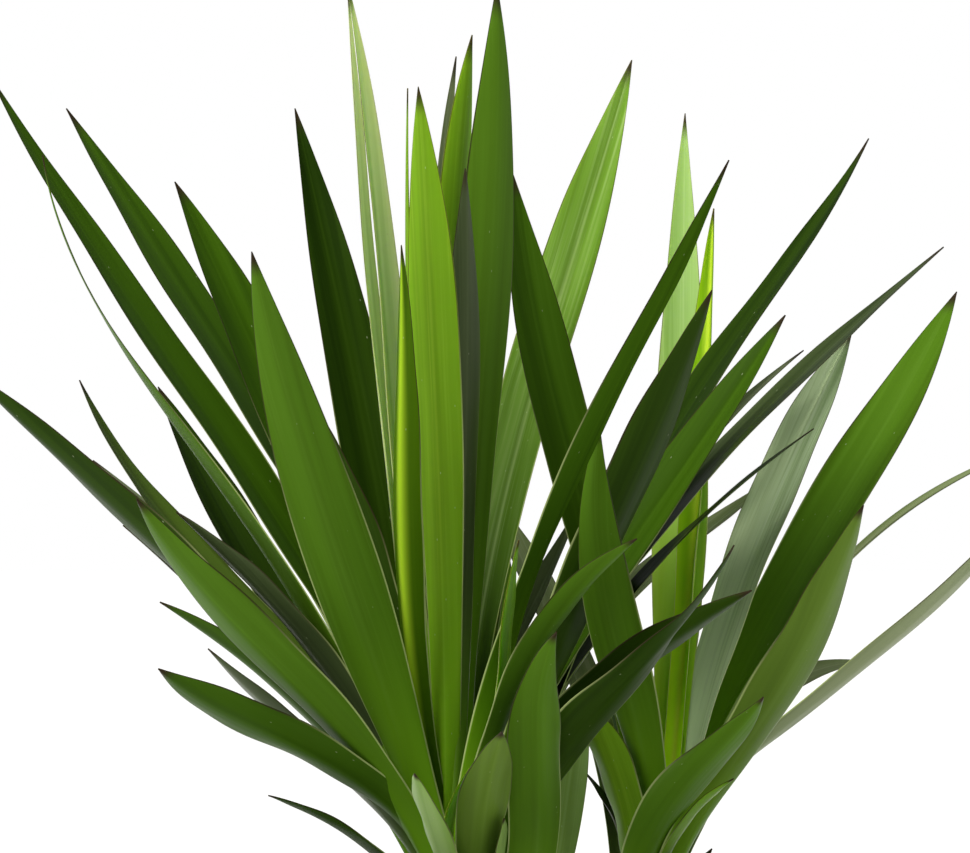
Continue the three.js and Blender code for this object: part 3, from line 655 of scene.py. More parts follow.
# A stem's radius along it: the sheaths of the leaves thicken it between these shares of its length.
# Its foot stands in the socket of a collar on the cane.
STEM_RADIUS = 13.5 * MM
HEART_RADIUS = 21 * MM
STEM_TIP_RADIUS = 7 * MM
HEART_SWELL = (0.24, 0.42)
HEART_NARROWING = (0.7, 1.0)
COLLAR_LENGTH = 30 * MM
SOCKET_DEPTH = 14 * MM
COLLAR_FOOT_RADIUS = 7 * MM

# The sheaths ring the stem in three rising rows. They start above its smooth foot in the socket.
STEM_SIDES = 40
STEM_RINGS = 110
SHEATHS = 22
SHEATH_ROWS = 3
SHEATH_RELIEF = 1.3 * MM
SHEATH_START = (0.2, 0.26)


def stem_radius(shares):
    """The radius of a stem along it: swollen at the heart of the leaves and narrow at the tip."""
    swollen = lerp(STEM_RADIUS, HEART_RADIUS, smoothstep(shares, *HEART_SWELL))
    return swollen - (HEART_RADIUS - STEM_TIP_RADIUS) * smoothstep(shares, *HEART_NARROWING)


def bar_corners(path, shares, radii, sides, relief=None):
    """Corners of a round bar along a path. relief gives a rise for each ring and angle."""
    place, along, _ = stations_along(path, shares)
    level, front = cross_axes(along)
    angles = np.arange(sides) * 2 * math.pi / sides
    radius = np.repeat(np.asarray(radii)[:, None], sides, axis=1)
    if relief is not None:
        radius = radius + relief(np.asarray(shares)[:, None], angles[None, :])
    across = level[:, None] * np.sin(angles)[None, :, None]
    spokes = across + front[:, None] * np.cos(angles)[None, :, None]
    return (place[:, None] + spokes * radius[:, :, None]).reshape(-1, 3)


def build_stem(name, stem):
    """The green stem, ringed by the bases of its leaves above the socket that it stands in."""
    shares = np.linspace(stem_share(stem, COLLAR_LENGTH - SOCKET_DEPTH), 1, STEM_RINGS)

    def ridges(share, angle):
        turns = share * SHEATHS + angle / (2 * math.pi) * SHEATH_ROWS
        scallop = 1 - np.abs(2 * (turns - np.floor(turns)) - 1)
        return SHEATH_RELIEF * scallop * smoothstep(share, *SHEATH_START)

    radii = stem_radius(shares) - CLEARANCE * (shares < SHEATH_START[0])
    corners = bar_corners(stem_path(stem), shares, radii, STEM_SIDES, ridges)
    piece = new_mesh(name, corners, ring_faces(STEM_RINGS, STEM_SIDES))
    piece.data.materials.append(stem_material())
    return piece


def lathe(profile, sides):
    """Corners and faces of a piece of revolution about Z, from a profile of (radius, height) that
    starts and ends on it. A height may be a function of the place."""
    corners = [(0, 0, profile[0][1])]
    for radius, height in profile[1:-1]:
        for i in range(sides):
            angle = 2 * math.pi * i / sides
            x, y = radius * math.cos(angle), radius * math.sin(angle)
            corners.append((x, y, height(x, y) if callable(height) else height))
    corners.append((0, 0, profile[-1][1]))
    rings = len(profile) - 2
    faces = [tuple(1 + index for index in face) for face in ring_faces(rings, sides, closed_ends=False)]
    last = 1 + (rings - 1) * sides
    for i in range(sides):
        after = (i + 1) % sides
        faces.append((0, 1 + after, 1 + i))
        faces.append((len(corners) - 1, last + i, last + after))
    return corners, faces


def arc(centre, radius, start, end, steps=5):
    """Points of a round edge in a profile, between two angles in degrees."""
    angles = np.radians(np.linspace(start, end, steps + 1))
    return [(centre[0] + radius * math.cos(a), centre[1] + radius * math.sin(a)) for a in angles]


def apply_modifiers(piece):
    """Turns what a piece's modifiers show into its own mesh."""
    graph = bpy.context.evaluated_depsgraph_get()
    made = bpy.data.meshes.new_from_object(piece.evaluated_get(graph))
    piece.modifiers.clear()
    piece.data = made


def cut_away(piece, tools):
    """Cuts the closed tools out of a piece and removes them."""
    for tool in tools:
        cut = piece.modifiers.new("cut", "BOOLEAN")
        cut.operation = "DIFFERENCE"
        cut.solver = "EXACT"
        cut.object = tool
    bpy.context.view_layer.update()
    apply_modifiers(piece)
    for tool in tools:
        bpy.data.objects.remove(tool)


# How finely the pot is turned, its fillets, and how far a ring stands in from each flat's edge.
POT_SIDES = 160
DRILL_SIDES = 32
WALL_RINGS = 14
RIM_RINGS = 5
RIM_FILLET = 2 * MM
FLOOR_ROUND = 6 * MM
FLAT_RING = 12 * MM


def pot_radius(height, settings):
    """The outer radius of the pot's wall at a height."""
    top = POT_HIGH.x - settings.rim_overhang
    return lerp(settings.base_radius, top, height / POT_HIGH.z)


class YUCCA_OT_pot(bpy.types.Operator):
    """Build the tapered pot with its rim band and drain holes"""

    bl_idname = "yucca.pot"
    bl_label = "Pot"

    def execute(self, context):
        s = context.scene.yucca_pot
        piece = new_mesh("pot_shell", *lathe(self.profile(s), POT_SIDES))
        drills = []
        for i in range(s.drains):
            angle = 2 * math.pi * i / s.drains
            bpy.ops.mesh.primitive_cylinder_add(
                vertices=DRILL_SIDES, radius=s.drain_radius, depth=4 * s.floor,
                location=(s.drain_circle * math.cos(angle), s.drain_circle * math.sin(angle), 0))
            drills.append(context.object)
        cut_away(piece, drills)
        piece.data.set_sharp_from_angle(angle=SHARP_ANGLE)
        piece.data.materials.append(pot_material(s.colour))
        finish_piece(piece, "pot")
        return {"FINISHED"}

    def profile(self, settings):
        """From the middle of the underside, up the wall, over the rim and down to the inner floor. The
        rings of the straight walls stop short of the rounded edges."""
        r = settings.edge_round
        fillet = RIM_FILLET
        top = POT_HIGH.z
        rim = POT_HIGH.x
        rim_bottom = top - settings.rim_height
        floor = settings.floor

        def wall(height):
            return pot_radius(height, settings)

        def inside(height):
            return pot_radius(height, settings) - settings.wall

        return [
            (0, 0),
            (wall(0) - FLAT_RING, 0),
            *arc((wall(r) - r, r), r, -90, 0),
            *[(wall(z), z) for z in np.linspace(10 * MM, rim_bottom - fillet, WALL_RINGS)],
            *arc((wall(rim_bottom) + fillet, rim_bottom - fillet), fillet, 180, 90, 4),
            *arc((rim - r, rim_bottom + r), r, -90, 0),
            *[(rim, z) for z in np.linspace(rim_bottom + 3 * MM, top - 3 * MM, RIM_RINGS)],
            *arc((rim - r, top - r), r, 0, 90),
            *arc((inside(top) + r, top - r), r, 90, 180),
            *[(inside(z), z) for z in np.linspace(top - 4 * MM, floor + 8 * MM, WALL_RINGS)],
            *arc((inside(floor) - FLOOR_ROUND, floor + FLOOR_ROUND), FLOOR_ROUND, 0, -90),
            (FLAT_RING, floor),
            (0, floor),
        ]


# Lumps and clods a metre, and the crumbs' sizes in millimetres, shrunk by a random share.
LUMP_SCALE = 90
CLOD_SCALE = 420
CRUMB_SIZES = (0.9, 3.4)
CRUMB_SHARES = (0.6, 1.0)
CRUMB_ROUGHNESS = 0.45
FINE_CRUMB = 2.2 * MM
CRUMB_MARGIN = 1.4
CRUMB_LIFT = 0.15
SOIL_SEED = 7

# The soil's body stands clear of the pot's rounded inner floor with a chamfer.
SOIL_SIDES = 200
SOIL_RINGS = 56
SOIL_INSET = 6.5 * MM
CHAMFER_WIDTH = 6 * MM
CHAMFER_HEIGHT = 7 * MM


def soil_height(x, y, settings, pot):
    """Height of the soil's surface at a place: a low mound with lumps and small clods."""
    edge = pot_radius(settings.level, pot) - pot.wall
    mound = settings.crown * math.sin(math.pi / 2 * max(0.0, 1 - math.hypot(x, y) / edge))
    lumps = noise.fractal(Vector((x * LUMP_SCALE, y * LUMP_SCALE, 3.7)), 0.7, 2.1, 4)
    clods = noise.noise(Vector((x * CLOD_SCALE, y * CLOD_SCALE, 9.1)))
    return settings.level + mound + settings.unevenness * (0.5 * lumps + 0.3 * clods)


def crumb(centre, size, random):
    """Corners and faces of one rough crumb."""
    mesh = bmesh.new()
    bmesh.ops.create_icosphere(mesh, subdivisions=2 if size > FINE_CRUMB else 1, radius=1)
    shift = Vector(random.uniform(0, 50, 3))
    stretch = np.array((random.uniform(0.7, 1.3), random.uniform(0.7, 1.3), random.uniform(0.5, 0.9)))
    turn = random.uniform(0, 2 * math.pi)
    corners = []
    for corner in mesh.verts:
        rough = 1 + CRUMB_ROUGHNESS * noise.noise(corner.co * 1.7 + shift)
        x, y, z = np.array(corner.co) * stretch * rough * size
        corners.append((centre[0] + x * math.cos(turn) - y * math.sin(turn),
                        centre[1] + x * math.sin(turn) + y * math.cos(turn), centre[2] + z))
    faces = [tuple(corner.index for corner in face.verts) for face in mesh.faces]
    mesh.free()
    return corners, faces


class YUCCA_OT_soil(bpy.types.Operator):
    """Build the crumbly soil with its plain hole around the cane"""

    bl_idname = "yucca.soil"
    bl_label = "Soil"

    def execute(self, context):
        s = context.scene.yucca_soil
        pot = context.scene.yucca_pot
        hole = context.scene.yucca_cane.radius + CLEARANCE
        hole_bottom = CANE_LOW.z - CLEARANCE
        edge = pot_radius(s.level, pot) - pot.wall - CLEARANCE
        foot = pot_radius(pot.floor, pot) - pot.wall - SOIL_INSET
        bottom = SOIL_LOW.z

        def surface(x, y):
            return soil_height(x, y, s, pot)

        corners, faces = lathe([
            (0, bottom),
            (foot, bottom),
            (foot + CHAMFER_WIDTH, bottom + CHAMFER_HEIGHT),
            *[(radius, surface) for radius in np.linspace(edge, hole, SOIL_RINGS)],
            (hole, hole_bottom),
            (0, hole_bottom),
        ], SOIL_SIDES)
        random = np.random.default_rng(SOIL_SEED)
        for _ in range(s.crumbs):
            size = random.uniform(*CRUMB_SIZES) * MM * random.uniform(*CRUMB_SHARES)
            margin = size * CRUMB_MARGIN
            far = math.sqrt(random.uniform((hole + margin) ** 2, (edge - margin) ** 2))
            angle = random.uniform(0, 2 * math.pi)
            x, y = far * math.cos(angle), far * math.sin(angle)
            more, more_faces = crumb((x, y, surface(x, y) + size * CRUMB_LIFT), size, random)
            faces += [tuple(len(corners) + index for index in face) for face in more_faces]
            corners += more
        piece = new_mesh("soil_surface", corners, faces, SOIL_SHARP_ANGLE)
        piece.data.materials.append(soil_material(s.colour))
        finish_piece(piece, "soil")
        return {"FINISHED"}


# Cracks, fine grain and leaf scars of the bark, in lumps a metre along each axis.
CRACK_SCALE = (150, 150, 26)
GRAIN_SCALE = (420, 420, 90)
SCAR_SCALE = (22, 22, 165)
CRACK_SHARE = 0.62
GRAIN_SHARE = 0.22
SCAR_SHARE = 0.3

# The cane tapers from just above the soil to its sawn top, whose edge is broken.
CANE_SIDES = 96
CANE_RINGS = 40
CANE_TOP = 392 * MM
CANE_BEVEL = 2 * MM
TAPER_START = 178 * MM
SOIL_TOP = 172 * MM
COLLAR_SIDES = 48
COLLAR_RINGS = 12
SOCKET_TOP = 0.26
SKIN_SIZE = 1.25 * MM


def bark_noise(place, scale, shift=(0, 0, 0)):
    """Smooth noise at a place, stretched along each axis and shifted to a field of its own."""
    scaled = Vector([value * times for value, times in zip(place, scale)])
    return noise.noise(scaled + Vector(shift))


def bark_depth_at(place):
    """How deep the bark lies at a place, from 0 on its plates to 1 in its cracks."""
    ridge = 1 - min(1.0, abs(bark_noise(place, CRACK_SCALE)) * 3.2)
    grain = 0.5 + 0.5 * bark_noise(place, GRAIN_SCALE, (4, 9, 2))
    scars = max(0.0, bark_noise(place, SCAR_SCALE, (1, 3, 7)))
    return CRACK_SHARE * ridge * ridge + GRAIN_SHARE * grain + SCAR_SHARE * scars


class YUCCA_OT_cane(bpy.types.Operator):
    """Build the bark-covered cane, its sawn top, and a collar and socket for each shoot"""

    bl_idname = "yucca.cane"
    bl_label = "Cane"

    def execute(self, context):
        s = context.scene.yucca_cane
        straight_top = CANE_TOP - CANE_BEVEL
        profile = [(0, CANE_LOW.z), (s.radius, CANE_LOW.z)]
        for part in np.linspace(0, 1, CANE_RINGS):
            profile.append((lerp(s.radius, s.top_radius, part), lerp(TAPER_START, straight_top, part)))
        profile += arc((s.top_radius - CANE_BEVEL, straight_top), CANE_BEVEL, 0, 90, 4)
        profile.append((0, CANE_TOP))
        piece = new_mesh("cane_bark", *lathe(profile, CANE_SIDES))
        for stem in (LEFT_STEM, RIGHT_STEM):
            self.add_collar(piece, stem, s)
        self.skin(piece)
        self.roughen(piece, s)
        cut_away(piece, [self.socket(stem) for stem in (LEFT_STEM, RIGHT_STEM)])
        self.colour_by_part(piece, s)
        finish_piece(piece, "cane")
        return {"FINISHED"}

    def add_collar(self, piece, stem, settings):
        """Joins the swelling around a shoot's foot to the trunk."""
        shares = np.linspace(0, stem_share(stem, COLLAR_LENGTH), COLLAR_RINGS)
        foot = stem_share(stem, COLLAR_LENGTH - SOCKET_DEPTH)
        swell = np.sin(math.pi / 2 * np.minimum(1, shares / foot))
        radii = lerp(COLLAR_FOOT_RADIUS, settings.collar_radius, swell)
        corners = bar_corners(stem_path(stem), shares, radii, COLLAR_SIDES)
        collar = new_mesh("collar", corners, ring_faces(COLLAR_RINGS, COLLAR_SIDES))
        with bpy.context.temp_override(active_object=piece, selected_editable_objects=[piece, collar]):
            bpy.ops.object.join()

    def skin(self, piece):
        """Grows one skin over the trunk and its collars."""
        remesh = piece.modifiers.new("skin", "REMESH")
        remesh.mode = "VOXEL"
        remesh.voxel_size = SKIN_SIZE
        soften = piece.modifiers.new("soften", "SMOOTH")
        soften.factor = 0.5
        soften.iterations = 4
        bpy.context.view_layer.update()
        apply_modifiers(piece)

    def roughen(self, piece, settings):
        """Sinks cracks into the bark above the soil and leaves the sawn top plain."""
        corners = piece.data.vertices
        place = np.zeros(len(corners) * 3)
        facing = np.zeros(len(corners) * 3)
        corners.foreach_get("co", place)
        corners.foreach_get("normal", facing)
        place = place.reshape(-1, 3)
        facing = facing.reshape(-1, 3)
        sunk = settings.bark_depth * np.array([bark_depth_at(corner) for corner in place])
        sunk *= smoothstep(place[:, 2], SOIL_TOP, SOIL_TOP + 4 * MM)
        sunk *= 1 - np.maximum(0, facing[:, 2]) ** 3
        place -= facing * sunk[:, None]
        place[:, 2] = np.minimum(place[:, 2], CANE_TOP)
        corners.foreach_set("co", place.ravel())
        piece.data.update()

    def socket(self, stem):
        """The plain hole in a collar that a stem stands in."""
        foot = stem_share(stem, COLLAR_LENGTH - SOCKET_DEPTH - CLEARANCE)
        shares = np.linspace(foot, SOCKET_TOP, 3)
        corners = bar_corners(stem_path(stem), shares, [STEM_RADIUS + CLEARANCE] * 3, COLLAR_SIDES)
        return new_mesh("socket", corners, ring_faces(3, COLLAR_SIDES))

    def colour_by_part(self, piece, settings):
        """Bark on the sides, sawn wood on the top."""
        piece.data.materials.clear()
        piece.data.materials.append(bark_material(settings.colour))
        piece.data.materials.append(sawn_material())
        for face in piece.data.polygons:
            face.use_smooth = True
            high = face.center.z > CANE_TOP - 1.2 * MM and face.normal.z > 0.8
            near = math.hypot(face.center.x, face.center.y) < settings.top_radius - 0.5 * MM
            face.material_index = 1 if high and near else 0
        piece.data.set_sharp_from_angle(angle=BARK_SHARP_ANGLE)


class YUCCA_OT_left_shoot(bpy.types.Operator):
    """Build the left shoot, one piece for each leaf and one for its stem"""

    bl_idname = "yucca.left_shoot"
    bl_label = "Left Shoot"

    def execute(self, context):
        build_shoot("left", LEFT_STEM, LEFT_LEAVES, LEFT_REAR, LEFT_LOW)
        return {"FINISHED"}


class YUCCA_OT_right_shoot(bpy.types.Operator):
    """Build the right shoot, one piece for each leaf and one for its stem"""

    bl_idname = "yucca.right_shoot"
    bl_label = "Right Shoot"

    def execute(self, context):
        build_shoot("right", RIGHT_STEM, RIGHT_LEAVES, RIGHT_REAR, RIGHT_LOW)
        return {"FINISHED"}


# The sun stands high behind the camera's left shoulder. Its light and the sky's are nearly white.
SUN_TURN = (math.radians(42), math.radians(-18), math.radians(-24))
SUN_COLOUR = (1.0, 0.985, 0.955)
SKY_COLOUR = (0.97, 0.985, 1.0)
WHITE = (1.0, 1.0, 1.0)


class YUCCA_OT_stage(bpy.types.Operator):
    """Build the pale floor, the soft light and the camera at the photograph's angle"""

    bl_idname = "yucca.stage"
    bl_label = "Stage"

    def execute(self, context):
        s = context.scene.yucca_stage
        scene = context.scene
        bpy.ops.mesh.primitive_plane_add(size=s.floor_size, location=(0, 0, 0))
        floor = context.object
        floor.name = "floor"
        floor.data.materials.append(floor_material())
        camera_data = bpy.data.cameras.new("camera")
        camera_data.sensor_width = SENSOR
        camera_data.lens = SENSOR * -EYE[1] / VIEW_WIDTH
        camera_data.clip_end = FAR_CLIP
        camera = bpy.data.objects.new("camera", camera_data)
        camera.location = EYE
        camera.rotation_euler = (math.pi / 2, 0, 0)
        scene.collection.objects.link(camera)
        scene.camera = camera
        key_data = bpy.data.lights.new("key", "SUN")
        key_data.energy = s.key_strength
        key_data.angle = s.key_softness
        key_data.color = SUN_COLOUR
        key = bpy.data.objects.new("key", key_data)
        key.rotation_euler = SUN_TURN
        scene.collection.objects.link(key)
        self.light_world(scene, s)
        scene.view_settings.view_transform = "Standard"
        return {"FINISHED"}

    def light_world(self, scene, settings):
        """Soft light from all round, dimmer in gloss, with a plain white background for the camera."""
        world = bpy.data.worlds.new("studio")
        world.use_nodes = True
        scene.world = world
        nodes, links = world.node_tree.nodes, world.node_tree.links
        nodes.clear()

        def background(colour, strength):
            node = nodes.new("ShaderNodeBackground")
            node.inputs["Color"].default_value = rgba(colour)
            node.inputs["Strength"].default_value = strength
            return node.outputs[0]

        def mixed(part, first, second):
            node = nodes.new("ShaderNodeMixShader")
            for socket, value in zip(node.inputs, (part, first, second)):
                links.new(value, socket)
            return node.outputs[0]

        rays = nodes.new("ShaderNodeLightPath")
        soft = background(SKY_COLOUR, settings.sky_strength)
        dim = background(SKY_COLOUR, settings.sky_gloss)
        lit = mixed(rays.outputs["Is Glossy Ray"], soft, dim)
        seen = mixed(rays.outputs["Is Camera Ray"], lit, background(WHITE, 1.0))
        links.new(seen, nodes.new("ShaderNodeOutputWorld").inputs["Surface"])


def new_group(name, inputs, outputs):
    """An empty shader group with named sockets. Each is (name, kind, default)."""
    tree = bpy.data.node_groups.new(name, "ShaderNodeTree")
    for label, kind, default in inputs:
        socket = tree.interface.new_socket(label, in_out="INPUT", socket_type=f"NodeSocket{kind}")
        if default is not None:
            socket.default_value = default
    for label, kind in outputs:
        tree.interface.new_socket(label, in_out="OUTPUT", socket_type=f"NodeSocket{kind}")
    return tree, tree.nodes.new("NodeGroupInput"), tree.nodes.new("NodeGroupOutput")


class Wiring:
    """Adds nodes to a tree and joins them. A value is a number, a colour or another node's output."""

    def __init__(self, tree):
        self.tree = tree

    def set(self, socket, value):
        if isinstance(value, bpy.types.NodeSocket):
            self.tree.links.new(value, socket)
        else:
            socket.default_value = value

    def math(self, operation, a, b=0.0):
        node = self.tree.nodes.new("ShaderNodeMath")
        node.operation = operation
        self.set(node.inputs[0], a)
        self.set(node.inputs[1], b)
        return node.outputs[0]

    def ramp(self, value, low, high, to_low=0.0, to_high=1.0):
        node = self.tree.nodes.new("ShaderNodeMapRange")
        node.interpolation_type = "SMOOTHSTEP"
        for socket, item in zip(node.inputs, (value, low, high, to_low, to_high)):
            self.set(socket, item)
        return node.outputs[0]

    def mix(self, factor, a, b):
        node = self.tree.nodes.new("ShaderNodeMix")
        node.data_type = "RGBA"
        self.set(node.inputs["Factor"], factor)
        self.set(node.inputs[6], a)
        self.set(node.inputs[7], b)
        return node.outputs[2]

    def stretched(self, vector, scale):
        node = self.tree.nodes.new("ShaderNodeMapping")
        node.inputs["Scale"].default_value = scale
        self.set(node.inputs["Vector"], vector)
        return node.outputs[0]

    def noise(self, vector, scale=1.0, detail=2.0, roughness=0.5):
        node = self.tree.nodes.new("ShaderNodeTexNoise")
        self.set(node.inputs["Vector"], vector)
        self.set(node.inputs["Scale"], scale)
        node.inputs["Detail"].default_value = detail
        node.inputs["Roughness"].default_value = roughness
        return node.outputs[0]

    def spots(self, vector, scale):
        node = self.tree.nodes.new("ShaderNodeTexVoronoi")
        self.set(node.inputs["Vector"], vector)
        self.set(node.inputs["Scale"], scale)
        return node.outputs["Distance"]

    def object_place(self):
        return self.tree.nodes.new("ShaderNodeTexCoord").outputs["Object"]


def once(maker):
    """Keeps what a maker builds from each set of values, so that it is built only once."""
    kept = {}

    def give(*values):
        if values not in kept:
            kept[values] = maker(*values)
        return kept[values]

    return give


# How often each marking of a blade comes in a metre, across and along it.
FIBRES = (560, 6, 1)
BANDS = (110, 2.6, 1)
CLOUDS = (16, 7, 1)
TONES = (9, 5, 1)
NICKS = (150, 60, 1)
NICK_COLOUR = (0.45, 0.50, 0.30)
MARGIN_STRENGTH = 0.85
DRY_SHARES = (0.962, 0.996)


@once
def blade_group():
    """Lengthwise streaks, margins of their own colours, a root tint that is partly painted light through
    the blade, a ridge that is a painted highlight in the lit looks, and a dry tip, for any green blade.
    """
    tree, group_in, made = new_group(
        "Leaf Blade",
        [("Shade", "Color", None), ("Green", "Color", None), ("Light", "Color", None),
         ("Margin", "Color", None), ("Tip", "Color", None), ("Ridge", "Color", None),
         ("Ridge Width", "Float", 0.1), ("Ridge Strength", "Float", 0.3), ("Root", "Color", None),
         ("Root Strength", "Float", 0.65), ("Root Reach", "Float", 0.45), ("Roughness", "Float", 0.4)],
        [("Color", "Color"), ("Roughness", "Float"), ("Height", "Float")])
    given = group_in.outputs
    w = Wiring(tree)
    blade = tree.nodes.new("ShaderNodeAttribute")
    blade.attribute_name = "blade"
    parts = tree.nodes.new("ShaderNodeSeparateXYZ")
    w.set(parts.inputs[0], blade.outputs["Vector"])
    across, share, upper = parts.outputs
    uv = tree.nodes.new("ShaderNodeUVMap")
    uv.uv_map = "blade_uv"
    flat = uv.outputs[0]

    fibres = w.noise(w.stretched(flat, FIBRES), detail=3, roughness=0.6)
    bands = w.noise(w.stretched(flat, BANDS))
    clouds = w.noise(w.stretched(flat, CLOUDS))
    body = w.mix(w.ramp(bands, 0.25, 0.6), given["Shade"], given["Green"])
    streaks = w.math("MULTIPLY", w.ramp(fibres, 0.45, 0.8), w.ramp(clouds, 0.3, 0.7, 0.15, 0.6))
    body = w.mix(streaks, body, given["Light"])
    body = w.mix(w.ramp(bands, 0.58, 0.8, 0.0, 0.5), body, given["Light"])
    under = w.mix(0.25, body, given["Light"])
    body = w.mix(w.ramp(upper, -0.5, 0.5), under, body)
    tones = w.ramp(w.noise(w.stretched(flat, TONES), detail=1), 0.3, 0.7, 0.0, 0.22)
    body = w.mix(tones, body, given["Shade"])
    # The root colour is the leaf's paler base, brightened with painted light that passes through the blade
    # and lifts the shade at its foot.
    body = w.mix(w.ramp(share, 0.04, given["Root Reach"], given["Root Strength"], 0.0), body, given["Root"])

    from_middle = w.math("ABSOLUTE", across)
    # In the keeled and lit looks the ridge colour is a painted highlight along the fold; in the others it
    # is a plain pale fold line.
    ridge = w.ramp(from_middle, 0.0, given["Ridge Width"], 1.0, 0.0)
    body = w.mix(w.math("MULTIPLY", ridge, given["Ridge Strength"]), body, given["Ridge"])
    nicks = w.ramp(w.spots(w.stretched(flat, NICKS), 1.0), 0.02, 0.06, 0.45, 0.0)
    body = w.mix(nicks, body, rgba(NICK_COLOUR))
    margin = w.ramp(w.math("ADD", from_middle, w.math("MULTIPLY", clouds, 0.03)), 0.965, 0.998)
    edge = w.mix(w.ramp(share, 0.45, 0.75), given["Margin"], given["Tip"])
    body = w.mix(w.math("MULTIPLY", margin, MARGIN_STRENGTH), body, edge)
    dry = w.ramp(w.math("ADD", share, w.math("MULTIPLY", bands, 0.01)), *DRY_SHARES)

    w.set(made.inputs["Color"], w.mix(dry, body, given["Tip"]))
    grain = w.ramp(fibres, 0.3, 0.8, -0.06, 0.1)
    w.set(made.inputs["Roughness"], w.math("ADD", given["Roughness"], grain))
    w.set(made.inputs["Height"], w.math("ADD", w.math("MULTIPLY", fibres, 0.4), bands))
    return tree


@once
def mottle_group():
    """Patches and fine grain of two colours, with a height to match, for bark, wood, soil and clay."""
    tree, group_in, made = new_group(
        "Mottle",
        [("Vector", "Vector", None), ("Dark", "Color", None), ("Light", "Color", None),
         ("Patch Scale", "Float", 40.0), ("Grain Scale", "Float", 900.0), ("Grain", "Float", 0.4)],
        [("Color", "Color"), ("Mask", "Float"), ("Height", "Float")])
    given = group_in.outputs
    w = Wiring(tree)
    patches = w.noise(given["Vector"], given["Patch Scale"], detail=4)
    grain = w.noise(given["Vector"], given["Grain Scale"], roughness=0.7)
    speckle = w.math("MULTIPLY", w.math("SUBTRACT", grain, 0.5), given["Grain"])
    mask = w.ramp(w.math("ADD", speckle, patches), 0.3, 0.7)
    w.set(made.inputs["Color"], w.mix(mask, given["Dark"], given["Light"]))
    w.set(made.inputs["Mask"], mask)
    w.set(made.inputs["Height"], w.math("ADD", w.math("MULTIPLY", patches, 0.5), grain))
    return tree


def new_material(name):
    """A material with a Principled shader, and the wiring to add to it."""
    material = bpy.data.materials.new(name)
    material.use_nodes = True
    return material, Wiring(material.node_tree), material.node_tree.nodes["Principled BSDF"]


def placed_group(w, tree, **values):
    """Places a group with its own values. An underscore stands for a space in a socket's name."""
    node = w.tree.nodes.new("ShaderNodeGroup")
    node.node_tree = tree
    for label, value in values.items():
        w.set(node.inputs[label.replace("_", " ")], value)
    return node.outputs


def mottle(w, vector, dark, light, patch_scale, grain_scale, grain):
    """Places the mottle with a finish's own colours and scales."""
    return placed_group(
        w, mottle_group(), Vector=vector, Dark=dark, Light=light,
        Patch_Scale=patch_scale, Grain_Scale=grain_scale, Grain=grain)


def finish_shader(w, shader, colour, roughness, height, depth):
    """Wires what changes over a surface: its colour, its roughness and a relief of a depth in metres."""
    bump = w.tree.nodes.new("ShaderNodeBump")
    bump.inputs["Distance"].default_value = depth
    w.set(bump.inputs["Height"], height)
    w.set(shader.inputs["Base Color"], colour)
    w.set(shader.inputs["Roughness"], roughness)
    w.set(shader.inputs["Normal"], bump.outputs[0])


def rgba(colour, factor=1.0):
    """A colour for a socket, made darker or lighter by a factor."""
    return (*[min(1.0, value * factor) for value in colour], 1.0)


# Linear colours of the finishes.
GLOSS_TINT = (0.85, 1.0, 0.55)
SCATTER = (0.8, 1.0, 0.3)
SHEATH_DARK = (0.10, 0.12, 0.035)
SHEATH_LIGHT = (0.36, 0.40, 0.17)
WORN_BARK = (0.42, 0.36, 0.28)
SAWN_DARK = (0.30, 0.20, 0.11)
SAWN_LIGHT = (0.52, 0.39, 0.24)
FIBRE_ENDS = (0.13, 0.07, 0.035)
BARK_CHIPS = (0.16, 0.095, 0.05)
LIME_BLOOM = (0.62, 0.48, 0.38)
FLOOR_DARK = (0.93, 0.93, 0.93)
FLOOR_LIGHT = (0.96, 0.96, 0.96)

# Width and strength of a plain fold line and of a broad ridge that is a painted highlight.
FOLD_LINE = (0.1, 0.25)
LIT_RIDGE = (0.55, 0.95)


@once
def leaf_material(look):
    """A blade of one look: streaked green with a soft gloss, and light that passes through it."""
    settings = bpy.context.scene.yucca_leaf
    colours = LOOKS[look]
    material, w, shader = new_material(f"leaf_{look}")
    ridge_width, ridge_strength = LIT_RIDGE if colours.ridge else FOLD_LINE
    blade = placed_group(
        w, blade_group(), Shade=rgba(colours.shade), Green=rgba(colours.body), Light=rgba(colours.light),
        Margin=rgba(settings.margin), Tip=rgba(settings.tip), Ridge=rgba(colours.ridge or colours.light),
        Ridge_Width=ridge_width, Ridge_Strength=ridge_strength, Root=rgba(colours.root),
        Root_Strength=colours.root_strength, Root_Reach=colours.root_reach, Roughness=colours.roughness)
    finish_shader(w, shader, blade["Color"], blade["Roughness"], blade["Height"], 0.035 * MM)
    shader.inputs["Specular IOR Level"].default_value = colours.gloss
    shader.inputs["Specular Tint"].default_value = rgba(GLOSS_TINT)
    shader.inputs["Subsurface Weight"].default_value = colours.passes
    shader.inputs["Subsurface Radius"].default_value = SCATTER
    shader.inputs["Subsurface Scale"].default_value = 4 * MM
    return material


@once
def stem_material():
    """Pale green leaf bases over a fibrous stem."""
    material, w, shader = new_material("leaf_bases")
    upright = w.stretched(w.object_place(), (1, 1, 0.35))
    bases = mottle(w, upright, rgba(SHEATH_DARK), rgba(SHEATH_LIGHT), 90.0, 1400.0, 0.5)
    roughness = w.ramp(bases["Mask"], 0.0, 1.0, 0.62, 0.45)
    finish_shader(w, shader, bases["Color"], roughness, bases["Height"], 0.4 * MM)
    return material


